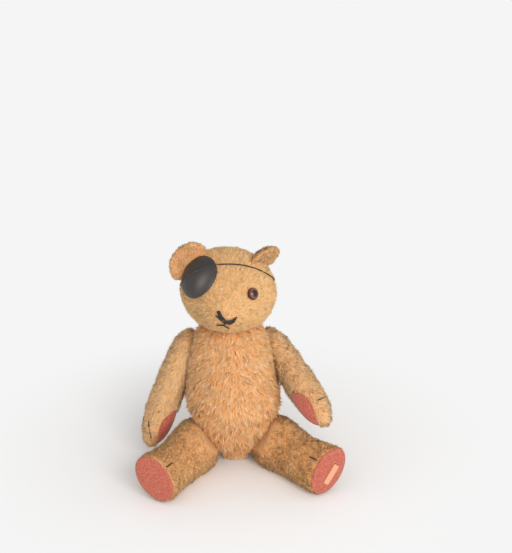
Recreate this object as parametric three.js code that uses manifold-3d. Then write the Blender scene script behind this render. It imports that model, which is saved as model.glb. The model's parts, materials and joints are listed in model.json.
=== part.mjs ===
// A small jointed teddy bear, worn thin, sitting with its legs out and a patch over one eye.
// Millimetres, +Z up. The origin is the middle of the flat seat under the body, and the bear faces -Y.
// Left and right are the bear's own, so its left limbs lie towards +X.
import * as THREE from 'three';
import { mergeVertices } from 'three/addons/utils/BufferGeometryUtils.js';
import loadManifold from 'manifold-3d';

const wasm = await loadManifold();
wasm.setup();

// Cloth and fit
const COVER_WALL = 2.2;          // plush backing with what is left of its pile
const SEAT_GAP = 0.3;            // between pieces that touch
const TURN_GAP = 0.6;            // between two covers that turn on each other
const FLOOR_PRESS = 3;           // how far the body is flattened where it sits

// Body
const BODY_LENGTH = 152;         // along its own axis, before the neck is cut flat
const BODY_HALF_WIDTH = 45.5;
const BODY_HALF_DEPTH = 41;
const BODY_LEAN_BACK = 12;       // degrees
const BODY_LEAN_SIDE = 2;        // degrees, towards its right
const SEAT_MIDDLE = [-1.7, 9.2]; // of the flat it sits on, from the foot of its axis
const NECK_HEIGHT = 136;         // of the neck joint above the seat
const NECK_TILT = 4;             // degrees that the neck joint leans back
const FLAT_DEPTH = 4;            // how deep a shoulder flattens the body
const HIP_FLAT_DEPTH = 8;        // how deep a hip does

// Head
const HEAD_HALF_WIDTH = 47;
const HEAD_HALF_DEPTH = 42;
const HEAD_HALF_HEIGHT = 42;
const HEAD_RISE = 34;            // of the middle of the head above the neck joint
const HEAD_TURN = -5.5;          // degrees about the neck
const HEAD_ROLL = 13;            // degrees, left cheek low
const HEAD_NOD = -5;             // degrees, nose down
const MUZZLE_OUT = 15;           // how far the muzzle stands out of the round of the head
const MUZZLE_SPREAD = 34;        // degrees from its middle to its foot
const MUZZLE_DROP = 14;          // degrees below the middle of the head
const EAR_HALF_WIDTH = 20;
const EAR_HALF_HEIGHT = 16;
const EAR_HALF_THICK = 4;
const EAR_STAND = 18;            // how far an ear stands off the head
const EYE_RADIUS = 6;
const EYE_HEIGHT = 4.5;
const EYE_TURN = 28;             // degrees from the middle of the face
const EYE_RISE = 14;             // degrees above it
const SHANK_RADIUS = 0.7;
const SHANK_LENGTH = 12;
const SHANK_LOOP_RADIUS = 1.8;
const SHANK_ROOM_RADIUS = 4;

// Places on the face are degrees round from its middle, towards the left ear, and degrees up
const EARS = [
  { name: 'left_ear', turn: 88, rise: 56, tilt: 62 },
  { name: 'right_ear', turn: -84, rise: 25, tilt: 0 },
];
const PATCH_HALF_WIDTH = 18.5;
const PATCH_HALF_HEIGHT = 21;
const PATCH_TILT = -20;          // degrees that the patch leans
const PATCH_WALL = 1.6;
const PATCH_LIFT = 0.5;          // of the patch off the pile
const PATCH_DEEP = 20;           // how far back its edge may wrap
const PATCH_TURN = -51;
const PATCH_RISE = 19;
const STRAND_LIFT = 0.6;         // of threads and cord off the cover
const CORD_RADIUS = 0.6;
const CORD_STEPS = 34;
const CORD_STOPS = [
  [-25, 45], [2, 49], [26, 48], [54, 42], [85, 31], [130, 10],
  [180, -4], [230, -8], [258, -9], [274, -5], [283, 4],
];
const NOSE_RADIUS = 1.3;
const NOSE_STEPS = 11;
const NOSE_STOPS = [[-9, -8], [-4, -12], [1, -17], [7, -15], [12, -12.5]];
const STITCH_RADIUS = 0.55;
const STITCH_STEPS = 6;
const MOUTH_STOPS = [[-6, -25], [0, -23], [6, -27]];

// Claws: stops of each stitch, as degrees round the limb and length back from its end
const PAW_CLAWS = {
  right: [[[0, 7], [15, 15], [30, 24]], [[68, 10], [74, 16], [80, 23]]],
  left: [[[5, 20], [28, 21], [50, 23]], [[55, 9], [75, 10], [95, 12]]],
};
const FOOT_CLAW = [[-62, 3], [-64, 8], [-66, 14]];

// Arms
const ARM_LENGTH = 121;
const ARM_HALF_WIDTH = 16.5;
const ARM_HALF_DEPTH = 15;
const ARM_TOP = 15;              // of the arm above its joint
const RIGHT_SHOULDER_HEIGHT = 110;
const LEFT_SHOULDER_HEIGHT = 109;
const SHOULDER_BACK = 15;        // degrees that the shoulder faces behind the side
const SHOULDER_UP = 15;          // degrees that the shoulder faces up
const RIGHT_ARM_SWING = 15;      // degrees forward from hanging
const LEFT_ARM_SWING = 58.5;
const ARM_MIDDLE = 7.5;          // from the joint to the middle of the arm
const ARM_BOW = 7;               // how far the arm bows out below its joint
const PAW_PAD_HALF_LENGTH = 20;
const PAW_PAD_HALF_WIDTH = 13;
const PAW_PAD_END = 2;           // from the pad to the end of the paw
const PAW_PAD_TURN = 15;         // degrees that the pad faces forward of the inner side

// Legs
const LEG_LENGTH = 116;
const LEG_TOP = 25;              // of the leg behind its joint
const LEG_HALF_WIDTH = 27;       // of the thigh, up and down
const LEG_HALF_DEPTH = 21;
const FOOT_HALF_WIDTH = 26;      // heel to toe
const FOOT_HALF_DEPTH = 18.5;
const HIP_BACK = 6;              // degrees that the hip faces behind the side
const HIP_ROLL = 32;             // degrees that the toes fall outwards
const LEG_BEND = 20;             // degrees that the leg bends out from its joint
const LEG_SWING = 12;            // degrees that the legs are raised from the level
const HIP_FORWARD = 8;           // of the hips in front of the middle of the body
const LEG_BEND_OVER = 36;        // length over which it bends
const LEG_PRESS = 7;             // how far the thigh is flattened by the floor
const LEG_MIDDLE = 14;           // from the joint to the middle of the thigh
const LABEL_LENGTH = 21;
const LABEL_WIDTH = 7;
const LABEL_WALL = 0.5;
const LABEL_TURN = 4;            // degrees from the long way of the sole
const LABEL_PLACE = [2, 18];     // up and out on the sole

// Disc joints
const PIN_RADIUS = 1.5;
const PIN_EYE_RADIUS = 3;
const WIRE_RADIUS = 1;           // of the pin's eye and of each of its legs
const PIN_CURL = [[0, 0], [1.2, 3.2], [3.6, 3.8], [5, 1.6]];  // across and deep, along one leg
const POCKET_ROOM = 3;           // in the stuffing round a washer
const DISC_WALL = 2.5;
const WASHER_WALL = 0.8;
const WASHER_RADIUS = 6;
const ARM_DISC_RADIUS = 8;
const LEG_DISC_RADIUS = 8;
const NECK_DISC_RADIUS = 18;

// Facets: how many sides and rings each round form has
const BODY_FACETS = [20, 12];
const HEAD_FACETS = [20, 13];
const ARM_FACETS = [12, 12];
const LEG_FACETS = [14, 13];
const EAR_FACETS = [14, 9];
const EYE_FACETS = [14, 5];
const DISC_SIDES = 16;
const HOLE_SIDES = 10;
const ROD_SIDES = 8;
const STRAND_SIDES = 5;
const RING_FACETS = [5, 9];
const OUTLINE_STEPS = 12;

const FUR = { color: 0xd9a566, roughness: 0.95, metalness: 0 };
const WADDING = { color: 0xd8cbb0, roughness: 1, metalness: 0 };
const FELT = { color: 0xb5574c, roughness: 0.95, metalness: 0 };
const THREAD = { color: 0x17130f, roughness: 0.7, metalness: 0 };
const LEATHER = { color: 0x1d1b1b, roughness: 0.45, metalness: 0 };
const GLASS = { color: 0x8a3d12, roughness: 0.05, metalness: 0 };
const HARDBOARD = { color: 0x7a5334, roughness: 0.8, metalness: 0 };
const STEEL = { color: 0x9b9a96, roughness: 0.4, metalness: 1 };
const TAPE = { color: 0xe6d3ac, roughness: 0.9, metalness: 0 };

const REACH = 400;               // past every piece
const CUT_OVER = 1;              // how far a cut runs past what it cuts
const UP = new THREE.Vector3(0, 0, 1);
const SIDES = [{ name: 'right', way: -1 }, { name: 'left', way: 1 }];
const SHOULDER_HEIGHT = { left: LEFT_SHOULDER_HEIGHT, right: RIGHT_SHOULDER_HEIGHT };
const ARM_SWING = { left: LEFT_ARM_SWING, right: RIGHT_ARM_SWING };
const radians = THREE.MathUtils.degToRad;
const bear = new THREE.Group();

// Closed geometry with its shared corners merged
function welded(geometry) {
  const bare = geometry.clone();
  bare.deleteAttribute('normal');
  bare.deleteAttribute('uv');
  return mergeVertices(bare, 1e-4);
}

function solidOf(geometry) {
  const shape = welded(geometry);
  return new wasm.Manifold(new wasm.Mesh({
    numProp: 3,
    vertProperties: Float32Array.from(shape.attributes.position.array),
    triVerts: Uint32Array.from(shape.index.array),
  }));
}

function geometryOf(solid) {
  const { vertProperties, triVerts } = solid.getMesh();
  const geometry = new THREE.BufferGeometry();
  geometry.setAttribute('position', new THREE.BufferAttribute(Float32Array.from(vertProperties), 3));
  geometry.setIndex(new THREE.BufferAttribute(Uint32Array.from(triVerts), 1));
  geometry.computeVertexNormals();
  return geometry;
}

// The same solid on the other side of local Y
function mirrored(solid) {
  const geometry = geometryOf(solid);
  const { position } = geometry.attributes;
  for (let i = 0; i < position.count; i += 1) position.setY(i, -position.getY(i));
  geometry.index.array.reverse();
  return solidOf(geometry);
}

function addPiece(group, name, solid, finish) {
  const mesh = new THREE.Mesh(geometryOf(solid), new THREE.MeshStandardMaterial(finish));
  mesh.name = name;
  group.add(mesh);
}

// A closed form with every face moved out by a distance
function grown(geometry, distance) {
  const shape = welded(geometry);
  shape.computeVertexNormals();
  const { position, normal } = shape.attributes;
  const point = new THREE.Vector3();
  const outward = new THREE.Vector3();
  for (let i = 0; i < position.count; i += 1) {
    point.fromBufferAttribute(position, i);
    outward.fromBufferAttribute(normal, i);
    position.setXYZ(i, ...point.addScaledVector(outward, distance));
  }
  return shape;
}

// A sewn and stuffed form: a sphere drawn out along Z. Each station gives a share of the length, the half
// widths along X and Y there, and how far the middle is carried along X and Y. Each end is round at a
// bluntness of 2 and squarer above it.
function stuffedForm({ start, length, facets, blunt, stations }) {
  const shares = stations.map(([share]) => share);
  const sizes = stations.flatMap(([, ...values]) => values);
  const section = new THREE.CubicInterpolant(shares, sizes, 4, new Float64Array(4));
  const form = new THREE.SphereGeometry(1, ...facets).rotateX(Math.PI / 2);
  const { position } = form.attributes;
  const point = new THREE.Vector3();
  for (let i = 0; i < position.count; i += 1) {
    point.fromBufferAttribute(position, i);
    const share = (1 + point.z) / 2;
    const ring = Math.max(Math.hypot(point.x, point.y), 1e-6);
    const end = blunt[point.z < 0 ? 0 : 1];
    const swell = Math.sqrt(Math.max(1 - Math.abs(point.z) ** end, 0)) / ring;
    const [halfX, halfY, middleX, middleY] = section.evaluate(share);
    position.setXYZ(
      i,
      middleX + point.x * swell * halfX,
      middleY + point.y * swell * halfY,
      start + share * length,
    );
  }
  return form;
}

// Cutting and turned shapes, with their axis along local Y
function block(low, high) {
  const size = high.map((value, i) => value - low[i]);
  const middle = high.map((value, i) => (value + low[i]) / 2);
  return new THREE.BoxGeometry(...size).translate(...middle);
}

function beyond(depth) {
  return block([-REACH, depth, -REACH], [REACH, depth + REACH, REACH]);
}

function short(depth) {
  return block([-REACH, depth - REACH, -REACH], [REACH, depth, REACH]);
}

function below(depth) {
  return block([-REACH, -REACH, depth - REACH], [REACH, REACH, depth]);
}

function rod(radius, from, to, sides = ROD_SIDES) {
  return new THREE.CylinderGeometry(radius, radius, to - from, sides).translate(0, (from + to) / 2, 0);
}

function roundSection(radius) {
  const corners = [];
  for (let i = 0; i < STRAND_SIDES; i += 1) {
    const angle = (2 * Math.PI * i) / STRAND_SIDES;
    corners.push(new THREE.Vector2(radius * Math.cos(angle), radius * Math.sin(angle)));
  }
  return new THREE.Shape(corners);
}

function prismOf(outline) {
  return new THREE.ExtrudeGeometry(outline, {
    depth: REACH,
    bevelEnabled: false,
    curveSegments: OUTLINE_STEPS,
  });
}

function strand(points, radius, steps) {
  const path = new THREE.CatmullRomCurve3(points);
  return new THREE.ExtrudeGeometry(roundSection(radius), {
    extrudePath: path,
    steps,
    bevelEnabled: false,
  });
}

// A disc joint, on local Y with its turning plane at 0: the cover, disc, washer and pin lie in this order
const COVER_INSIDE = TURN_GAP / 2 + COVER_WALL;
const DISC_NEAR = COVER_INSIDE + SEAT_GAP;
const DISC_FAR = DISC_NEAR + DISC_WALL;
const WASHER_NEAR = DISC_FAR + SEAT_GAP;
const WASHER_FAR = WASHER_NEAR + WASHER_WALL;
const PIN_STOP = WASHER_FAR + SEAT_GAP;
const PIN_HOLE_RADIUS = PIN_RADIUS + SEAT_GAP;
const PIN_END = PIN_STOP + 2 * (PIN_EYE_RADIUS + WIRE_RADIUS);
const POCKET_RADIUS = WASHER_RADIUS + POCKET_ROOM;

function pinHole(near, far) {
  return rod(PIN_HOLE_RADIUS, near - CUT_OVER, far + CUT_OVER, HOLE_SIDES);
}

function discOf(radius, near, far) {
  return solidOf(rod(radius, near, far, DISC_SIDES)).subtract(solidOf(pinHole(near, far)));
}

// A split pin: a round shank with an eye at the limb and two legs curled back in the body
function cotterPin() {
  const shoulder = PIN_STOP + WIRE_RADIUS;
  const eye = new THREE.TorusGeometry(PIN_EYE_RADIUS, WIRE_RADIUS, ...RING_FACETS);
  eye.translate(0, shoulder + PIN_EYE_RADIUS, 0);
  let pin = solidOf(rod(PIN_RADIUS, -shoulder, shoulder)).add(solidOf(eye));
  for (const way of [-1, 1]) {
    const curl = PIN_CURL.map(([across, deep]) => new THREE.Vector3(way * across, -shoulder - deep, 0));
    pin = pin.add(solidOf(strand(curl, WIRE_RADIUS, PIN_CURL.length)));
  }
  return pin;
}

// Room in a cover for the disc inside it, should the cover curve in that near
function discRoom(radius, ...matrices) {
  return solidOf(carried(rod(radius + SEAT_GAP, DISC_NEAR, DISC_FAR + SEAT_GAP, DISC_SIDES), ...matrices));
}

// Room in a stuffing for one side of a joint, on local Y at 0 and above, then carried to its place
function jointPocket(radius, ...matrices) {
  const round = solidOf(carried(rod(radius + SEAT_GAP, 0, WASHER_NEAR, DISC_SIDES), ...matrices));
  return round.add(solidOf(carried(rod(POCKET_RADIUS, 0, PIN_END + CUT_OVER), ...matrices)));
}

// Where a frame stands, as a matrix of its three axes and its place
function frameOf(x, y, z, place) {
  return new THREE.Matrix4().makeBasis(x, y, z).setPosition(place);
}

function placedGroup(matrix) {
  const group = new THREE.Group();
  group.applyMatrix4(matrix);
  bear.add(group);
  return group;
}

// The body's form leans back and to its right, and stands a little into the floor before it is cut flat
const bodyForm = stuffedForm({
  start: 0,
  length: BODY_LENGTH,
  facets: BODY_FACETS,
  blunt: [2, 6],
  stations: [
    [0, 0.7 * BODY_HALF_WIDTH, 0.55 * BODY_HALF_DEPTH, 0, 8],
    [0.2, 0.98 * BODY_HALF_WIDTH, 0.88 * BODY_HALF_DEPTH, 0, 3],
    [0.42, BODY_HALF_WIDTH, BODY_HALF_DEPTH, 0, -4],
    [0.7, 0.91 * BODY_HALF_WIDTH, 0.9 * BODY_HALF_DEPTH, 0, -1],
    [1, 0.8 * BODY_HALF_WIDTH, 0.74 * BODY_HALF_DEPTH, 0, 0],
  ],
});
bodyForm.rotateX(-radians(BODY_LEAN_BACK));
bodyForm.rotateY(-radians(BODY_LEAN_SIDE));
bodyForm.translate(-SEAT_MIDDLE[0], -SEAT_MIDDLE[1], -FLOOR_PRESS);

// The outermost point of a form on the line from a middle point along a direction, with its outward normal
function skinOf(form, middle, direction) {
  const skin = new THREE.Mesh(form, new THREE.MeshBasicMaterial({ side: THREE.DoubleSide }));
  const aim = direction.clone().normalize();
  const ray = new THREE.Raycaster(middle.clone().addScaledVector(aim, REACH), aim.clone().negate());
  const { point, face } = ray.intersectObject(skin)[0];
  return { point, normal: face.normal.clone() };
}

function lifted({ point, normal }, lift) {
  return point.clone().addScaledVector(normal, lift);
}

// A frame whose Y is the given direction
function frameOnY(y, place, near = UP) {
  const x = new THREE.Vector3().crossVectors(y, near).normalize();
  return frameOf(x, y, new THREE.Vector3().crossVectors(x, y), place);
}

function carried(geometry, ...matrices) {
  const moved = geometry.clone();
  for (const matrix of matrices) moved.applyMatrix4(matrix);
  return moved;
}

// Joints: where each one stands on the body, with its pin along Y of its axle, pointing out of the body
function bodyAxisAt(height) {
  return new THREE.Vector3(
    -height * Math.tan(radians(BODY_LEAN_SIDE)) - SEAT_MIDDLE[0],
    height * Math.tan(radians(BODY_LEAN_BACK)) - SEAT_MIDDLE[1],
    height,
  );
}

function sideJoint(way, back, tilt, height, ahead, flatDepth) {
  const level = new THREE.Vector3(way * Math.cos(back), Math.sin(back), 0);
  const forward = new THREE.Vector3(way * Math.sin(back), -Math.cos(back), 0);
  const out = level.clone().multiplyScalar(Math.cos(tilt)).addScaledVector(UP, Math.sin(tilt));
  const rise = UP.clone().multiplyScalar(Math.cos(tilt)).addScaledVector(level, -Math.sin(tilt));
  const middle = bodyAxisAt(height).add(new THREE.Vector3(0, -ahead, 0));
  const place = skinOf(bodyForm, middle, level).point.addScaledVector(out, -flatDepth);
  return { way, out, forward, rise, place, axle: frameOnY(out, place) };
}

// A limb's frame has X in the plane of its joint, Z along the limb and Y along the pin. Left limbs are
// built as right ones and mirrored, so their Y points into the body.
function limbFrame({ way, out, place }, x, swing) {
  const y = out.clone().multiplyScalar(-way);
  const z = new THREE.Vector3().crossVectors(x, y);
  return frameOf(x, y, z, place).multiply(new THREE.Matrix4().makeRotationY(radians(swing)));
}

const HIP_HEIGHT = Math.hypot(
  LEG_HALF_WIDTH * Math.cos(radians(HIP_ROLL)),
  LEG_HALF_DEPTH * Math.sin(radians(HIP_ROLL)),
) + LEG_MIDDLE * Math.sin(radians(HIP_ROLL)) - LEG_PRESS;

const neckPlace = bodyAxisAt(NECK_HEIGHT);
const neckTurn = new THREE.Matrix4().makeRotationX(-radians(NECK_TILT)).setPosition(neckPlace);
const neckOut = UP.clone().transformDirection(neckTurn);
const joints = { neck: { out: neckOut, axle: frameOnY(neckOut, neckPlace, new THREE.Vector3(0, 1, 0)) } };
for (const { name, way } of SIDES) {
  joints[`${name}_shoulder`] = sideJoint(
    way, radians(SHOULDER_BACK), radians(SHOULDER_UP), SHOULDER_HEIGHT[name], 0, FLAT_DEPTH,
  );
  joints[`${name}_hip`] = sideJoint(
    way, radians(HIP_BACK), -radians(HIP_ROLL), HIP_HEIGHT, HIP_FORWARD, HIP_FLAT_DEPTH,
  );
}
const discRadius = {
  neck: NECK_DISC_RADIUS,
  left_shoulder: ARM_DISC_RADIUS,
  right_shoulder: ARM_DISC_RADIUS,
  left_hip: LEG_DISC_RADIUS,
  right_hip: LEG_DISC_RADIUS,
};

// Hardboard discs and steel washers on either side of each joint, and the pin through them
const inward = new THREE.Matrix4().makeRotationX(Math.PI);
for (const [name, { axle }] of Object.entries(joints)) {
  const group = placedGroup(axle);
  const disc = discOf(discRadius[name], DISC_NEAR, DISC_FAR);
  const washer = discOf(WASHER_RADIUS, WASHER_NEAR, WASHER_FAR);
  addPiece(group, `${name}_limb_disc`, disc, HARDBOARD);
  addPiece(group, `${name}_limb_washer`, washer, STEEL);
  addPiece(group, `${name}_pin`, cotterPin(), STEEL);
  const bodySide = new THREE.Group();
  bodySide.applyMatrix4(inward);
  group.add(bodySide);
  addPiece(bodySide, `${name}_body_disc`, disc, HARDBOARD);
  addPiece(bodySide, `${name}_body_washer`, washer, STEEL);
}

// Body: one form, flattened at its five joints and where it sits
function bodyShape(depth) {
  let shape = solidOf(depth > 0 ? grown(bodyForm, -depth) : bodyForm);
  for (const { axle } of Object.values(joints)) {
    shape = shape.subtract(solidOf(carried(beyond(-TURN_GAP / 2 - depth), axle)));
  }
  return shape.subtract(solidOf(below(depth)));
}

let bodyCover = bodyShape(0).subtract(bodyShape(COVER_WALL));
let bodyStuffing = bodyShape(COVER_WALL + SEAT_GAP);
for (const [name, { axle }] of Object.entries(joints)) {
  bodyCover = bodyCover
    .subtract(solidOf(carried(pinHole(-COVER_INSIDE, 0), axle)))
    .subtract(discRoom(discRadius[name], inward, axle));
  bodyStuffing = bodyStuffing.subtract(jointPocket(discRadius[name], inward, axle));
}
addPiece(bear, 'body_cover', bodyCover, FUR);
addPiece(bear, 'body_stuffing', bodyStuffing, WADDING);

// Arms: a bent stuffed form with a felt pad let into the inner side of the paw
const PAW_END = ARM_LENGTH - ARM_TOP;
const PAW_MIDDLE = ARM_MIDDLE + ARM_BOW;
const armForm = stuffedForm({
  start: -ARM_TOP,
  length: ARM_LENGTH,
  facets: ARM_FACETS,
  blunt: [5, 4.5],
  stations: [
    [0, 0.95 * ARM_HALF_WIDTH, 0.95 * ARM_HALF_DEPTH, 0, ARM_MIDDLE],
    [0.3, 0.97 * ARM_HALF_WIDTH, ARM_HALF_DEPTH, -1, ARM_MIDDLE + 0.4 * ARM_BOW],
    [0.7, ARM_HALF_WIDTH, ARM_HALF_DEPTH, -1, PAW_MIDDLE],
    [1, 0.9 * ARM_HALF_WIDTH, 0.9 * ARM_HALF_DEPTH, 4, PAW_MIDDLE],
  ],
});

function limbShape(form, depth) {
  const shape = solidOf(depth > 0 ? grown(form, -depth) : form);
  return shape.subtract(solidOf(short(TURN_GAP / 2 + depth)));
}

function pawPrism(grow) {
  const outline = new THREE.Shape();
  outline.absellipse(0, 0, PAW_PAD_HALF_WIDTH + grow, PAW_PAD_HALF_LENGTH + grow, 0, 2 * Math.PI);
  const turn = radians(PAW_PAD_TURN);
  const out = new THREE.Vector3(Math.sin(turn), -Math.cos(turn), 0);
  const across = new THREE.Vector3().crossVectors(UP, out);
  const middle = new THREE.Vector3(0, PAW_MIDDLE, PAW_END - PAW_PAD_END - PAW_PAD_HALF_LENGTH);
  return solidOf(carried(prismOf(outline), frameOf(across, UP, out, middle)));
}

// A stitch laid on a limb. Each stop is the angle from local X round the limb's middle, and the length along
// Z, in the limb's straight frame, which the bend then carries.
function limbStitch(form, middleY, stops, bend = new THREE.Matrix4()) {
  const route = new THREE.CatmullRomCurve3(stops.map(([angle, along]) => new THREE.Vector3(angle, along, 0)));
  const points = route.getPoints(STITCH_STEPS).map(({ x, y }) => {
    const direction = new THREE.Vector3(Math.cos(radians(x)), Math.sin(radians(x)), 0);
    const middle = new THREE.Vector3(0, middleY, y).applyMatrix4(bend);
    return lifted(skinOf(form, middle, direction.transformDirection(bend)), STITCH_RADIUS + STRAND_LIFT);
  });
  return solidOf(strand(points, STITCH_RADIUS, STITCH_STEPS));
}

const limbHole = pinHole(0, COVER_INSIDE);
const armShell = limbShape(armForm, 0)
  .subtract(limbShape(armForm, COVER_WALL))
  .subtract(solidOf(limbHole))
  .subtract(discRoom(ARM_DISC_RADIUS));
const armPieces = [
  ['arm_cover', armShell.subtract(pawPrism(SEAT_GAP)), FUR],
  ['paw_pad', armShell.intersect(pawPrism(0)), FELT],
  ['arm_stuffing', limbShape(armForm, COVER_WALL + SEAT_GAP).subtract(jointPocket(ARM_DISC_RADIUS)), WADDING],
];
const fromEnd = (stops, end) => stops.map(([angle, back]) => [angle, end - back]);

// Leg form: a thigh that narrows to the ankle and turns up into a foot, closed by a felt sole
const legEnd = LEG_LENGTH - LEG_TOP;
const legForm = bentOut(stuffedForm({
  start: -LEG_TOP,
  length: LEG_LENGTH,
  facets: LEG_FACETS,
  blunt: [3.6, 40],
  stations: [
    [0, 0.96 * LEG_HALF_WIDTH, 0.92 * LEG_HALF_DEPTH, -2, LEG_MIDDLE],
    [0.3, LEG_HALF_WIDTH, LEG_HALF_DEPTH, -2, LEG_MIDDLE],
    [0.66, 0.86 * LEG_HALF_WIDTH, 0.9 * LEG_HALF_DEPTH, -1, LEG_MIDDLE],
    [0.88, 0.95 * FOOT_HALF_WIDTH, 0.97 * FOOT_HALF_DEPTH, 2, LEG_MIDDLE],
    [1, FOOT_HALF_WIDTH, FOOT_HALF_DEPTH, 4, LEG_MIDDLE],
  ],
}));

// The leg bends out of its joint's plane about a line across its middle, over the length of the thigh
function bentOut(form) {
  const { position } = form.attributes;
  const point = new THREE.Vector3();
  for (let i = 0; i < position.count; i += 1) {
    point.fromBufferAttribute(position, i);
    const share = THREE.MathUtils.smoothstep(point.z, 0, LEG_BEND_OVER);
    point.applyMatrix4(legBend(share));
    position.setXYZ(i, ...point);
  }
  return form;
}

function legBend(share) {
  return new THREE.Matrix4()
    .makeTranslation(0, LEG_MIDDLE, 0)
    .multiply(new THREE.Matrix4().makeRotationX(-radians(LEG_BEND) * share))
    .multiply(new THREE.Matrix4().makeTranslation(0, -LEG_MIDDLE, 0));
}

// Head: a wide round with a short muzzle, flattened at the neck
const faceFrame = neckTurn.clone()
  .multiply(new THREE.Matrix4().makeTranslation(0, 0, HEAD_RISE))
  .multiply(new THREE.Matrix4().makeRotationFromEuler(
    new THREE.Euler(radians(HEAD_NOD), radians(HEAD_ROLL), radians(HEAD_TURN), 'ZYX'),
  ));
const intoFace = faceFrame.clone().invert();
const muzzleAim = faceDirection(0, -MUZZLE_DROP);

function faceDirection(turn, rise) {
  const [a, e] = [radians(turn), radians(rise)];
  return new THREE.Vector3(Math.sin(a) * Math.cos(e), -Math.cos(a) * Math.cos(e), Math.sin(e));
}

function headShape() {
  const form = new THREE.SphereGeometry(1, ...HEAD_FACETS).rotateX(Math.PI / 2);
  const { position } = form.attributes;
  const point = new THREE.Vector3();
  for (let i = 0; i < position.count; i += 1) {
    point.fromBufferAttribute(position, i);
    const away = point.angleTo(muzzleAim) / radians(MUZZLE_SPREAD);
    point.multiply(new THREE.Vector3(HEAD_HALF_WIDTH, HEAD_HALF_DEPTH, HEAD_HALF_HEIGHT));
    position.setXYZ(i, ...point.addScaledVector(muzzleAim, MUZZLE_OUT * Math.exp(-(away ** 2))));
  }
  return form;
}

const headForm = headShape();
const headMiddle = new THREE.Vector3();

// A strand laid on the head through the given places on the face, lifted clear of the cover
function headStrand(stops, radius, steps) {
  const route = new THREE.CatmullRomCurve3(stops.map(([turn, rise]) => new THREE.Vector3(turn, rise, 0)));
  const points = route.getPoints(steps).map(({ x, y }) => {
    const skin = skinOf(headForm, headMiddle, faceDirection(x, y));
    return lifted(skin, radius + STRAND_LIFT);
  });
  return solidOf(strand(points, radius, steps));
}

function headSolid(depth) {
  const shape = solidOf(depth > 0 ? grown(headForm, -depth) : headForm);
  return shape.subtract(solidOf(carried(short(TURN_GAP / 2 + depth), joints.neck.axle, intoFace)));
}

const eyeSkin = skinOf(headForm, headMiddle, faceDirection(EYE_TURN, EYE_RISE));
const eyeFrame = frameOnY(eyeSkin.normal, eyeSkin.point);
const shankHole = rod(SHANK_RADIUS + SEAT_GAP, -COVER_WALL - CUT_OVER, CUT_OVER);
const shankRoom = rod(SHANK_ROOM_RADIUS, -SHANK_LENGTH - SHANK_ROOM_RADIUS, 0);
const headCover = headSolid(0)
  .subtract(headSolid(COVER_WALL))
  .subtract(solidOf(carried(limbHole, joints.neck.axle, intoFace)))
  .subtract(discRoom(NECK_DISC_RADIUS, joints.neck.axle, intoFace))
  .subtract(solidOf(carried(shankHole, eyeFrame)));
const headStuffing = headSolid(COVER_WALL + SEAT_GAP)
  .subtract(jointPocket(NECK_DISC_RADIUS, joints.neck.axle, intoFace))
  .subtract(solidOf(carried(shankRoom, eyeFrame)));
const face = placedGroup(faceFrame);
addPiece(face, 'head_cover', headCover, FUR);
addPiece(face, 'head_stuffing', headStuffing, WADDING);

// Eye: a flat-backed glass dome, held by a wire shank through the cover
const dome = [new THREE.Vector2(0, 0)];
for (let i = 0; i <= EYE_FACETS[1]; i += 1) {
  const angle = (Math.PI / 2) * (i / EYE_FACETS[1]);
  dome.push(new THREE.Vector2(EYE_RADIUS * Math.cos(angle), EYE_HEIGHT * Math.sin(angle)));
}
dome[dome.length - 1].x = 0;
const eyeGlass = new THREE.LatheGeometry(dome, EYE_FACETS[0]);
const clearOfHead = solidOf(grown(headForm, SEAT_GAP));
addPiece(face, 'eye', solidOf(carried(eyeGlass, eyeFrame)).subtract(clearOfHead), GLASS);
const shankLoop = new THREE.TorusGeometry(SHANK_LOOP_RADIUS, SHANK_RADIUS, ...RING_FACETS);
shankLoop.translate(0, -SHANK_LENGTH, 0);
const shankRod = rod(SHANK_RADIUS, SHANK_LOOP_RADIUS - SHANK_LENGTH, 0);
const shank = solidOf(carried(shankRod, eyeFrame)).add(solidOf(carried(shankLoop, eyeFrame)));
addPiece(face, 'eye_shank', shank, STEEL);

// Ears: flat rounded flaps, sewn on where they meet the head
for (const { name, turn, rise, tilt } of EARS) {
  const skin = skinOf(headForm, headMiddle, faceDirection(turn, rise));
  const aim = skin.point.clone().normalize();
  const across = new THREE.Vector3(0, -1, 0).applyAxisAngle(aim, radians(tilt));
  const flat = across.clone().addScaledVector(aim, -across.dot(aim)).normalize();
  const flap = new THREE.SphereGeometry(1, ...EAR_FACETS);
  flap.scale(EAR_HALF_WIDTH, EAR_HALF_THICK, EAR_HALF_HEIGHT);
  const x = new THREE.Vector3().crossVectors(flat, aim);
  const place = skin.point.clone().addScaledVector(aim, EAR_STAND - EAR_HALF_HEIGHT);
  const ear = solidOf(carried(flap, frameOf(x, flat, aim, place)));
  addPiece(face, name, ear.subtract(clearOfHead), FUR);
}

// Eye patch: leather laid on the head, with its cord round the back of the head
const patchSkin = skinOf(headForm, headMiddle, faceDirection(PATCH_TURN, PATCH_RISE));
const patchOutline = new THREE.Shape();
patchOutline.absellipse(0, 0, PATCH_HALF_WIDTH, PATCH_HALF_HEIGHT, 0, 2 * Math.PI);
const patchPrism = prismOf(patchOutline).rotateZ(radians(PATCH_TILT));
const patchFrame = frameOnY(patchSkin.normal, lifted(patchSkin, -PATCH_DEEP));
const layFlat = new THREE.Matrix4().makeRotationX(-Math.PI / 2);
const patch = solidOf(grown(headForm, PATCH_LIFT + PATCH_WALL))
  .subtract(solidOf(grown(headForm, PATCH_LIFT)))
  .intersect(solidOf(carried(patchPrism, layFlat, patchFrame)));
addPiece(face, 'eye_patch', patch, LEATHER);

addPiece(face, 'patch_cord', headStrand(CORD_STOPS, CORD_RADIUS, CORD_STEPS), LEATHER);

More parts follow.
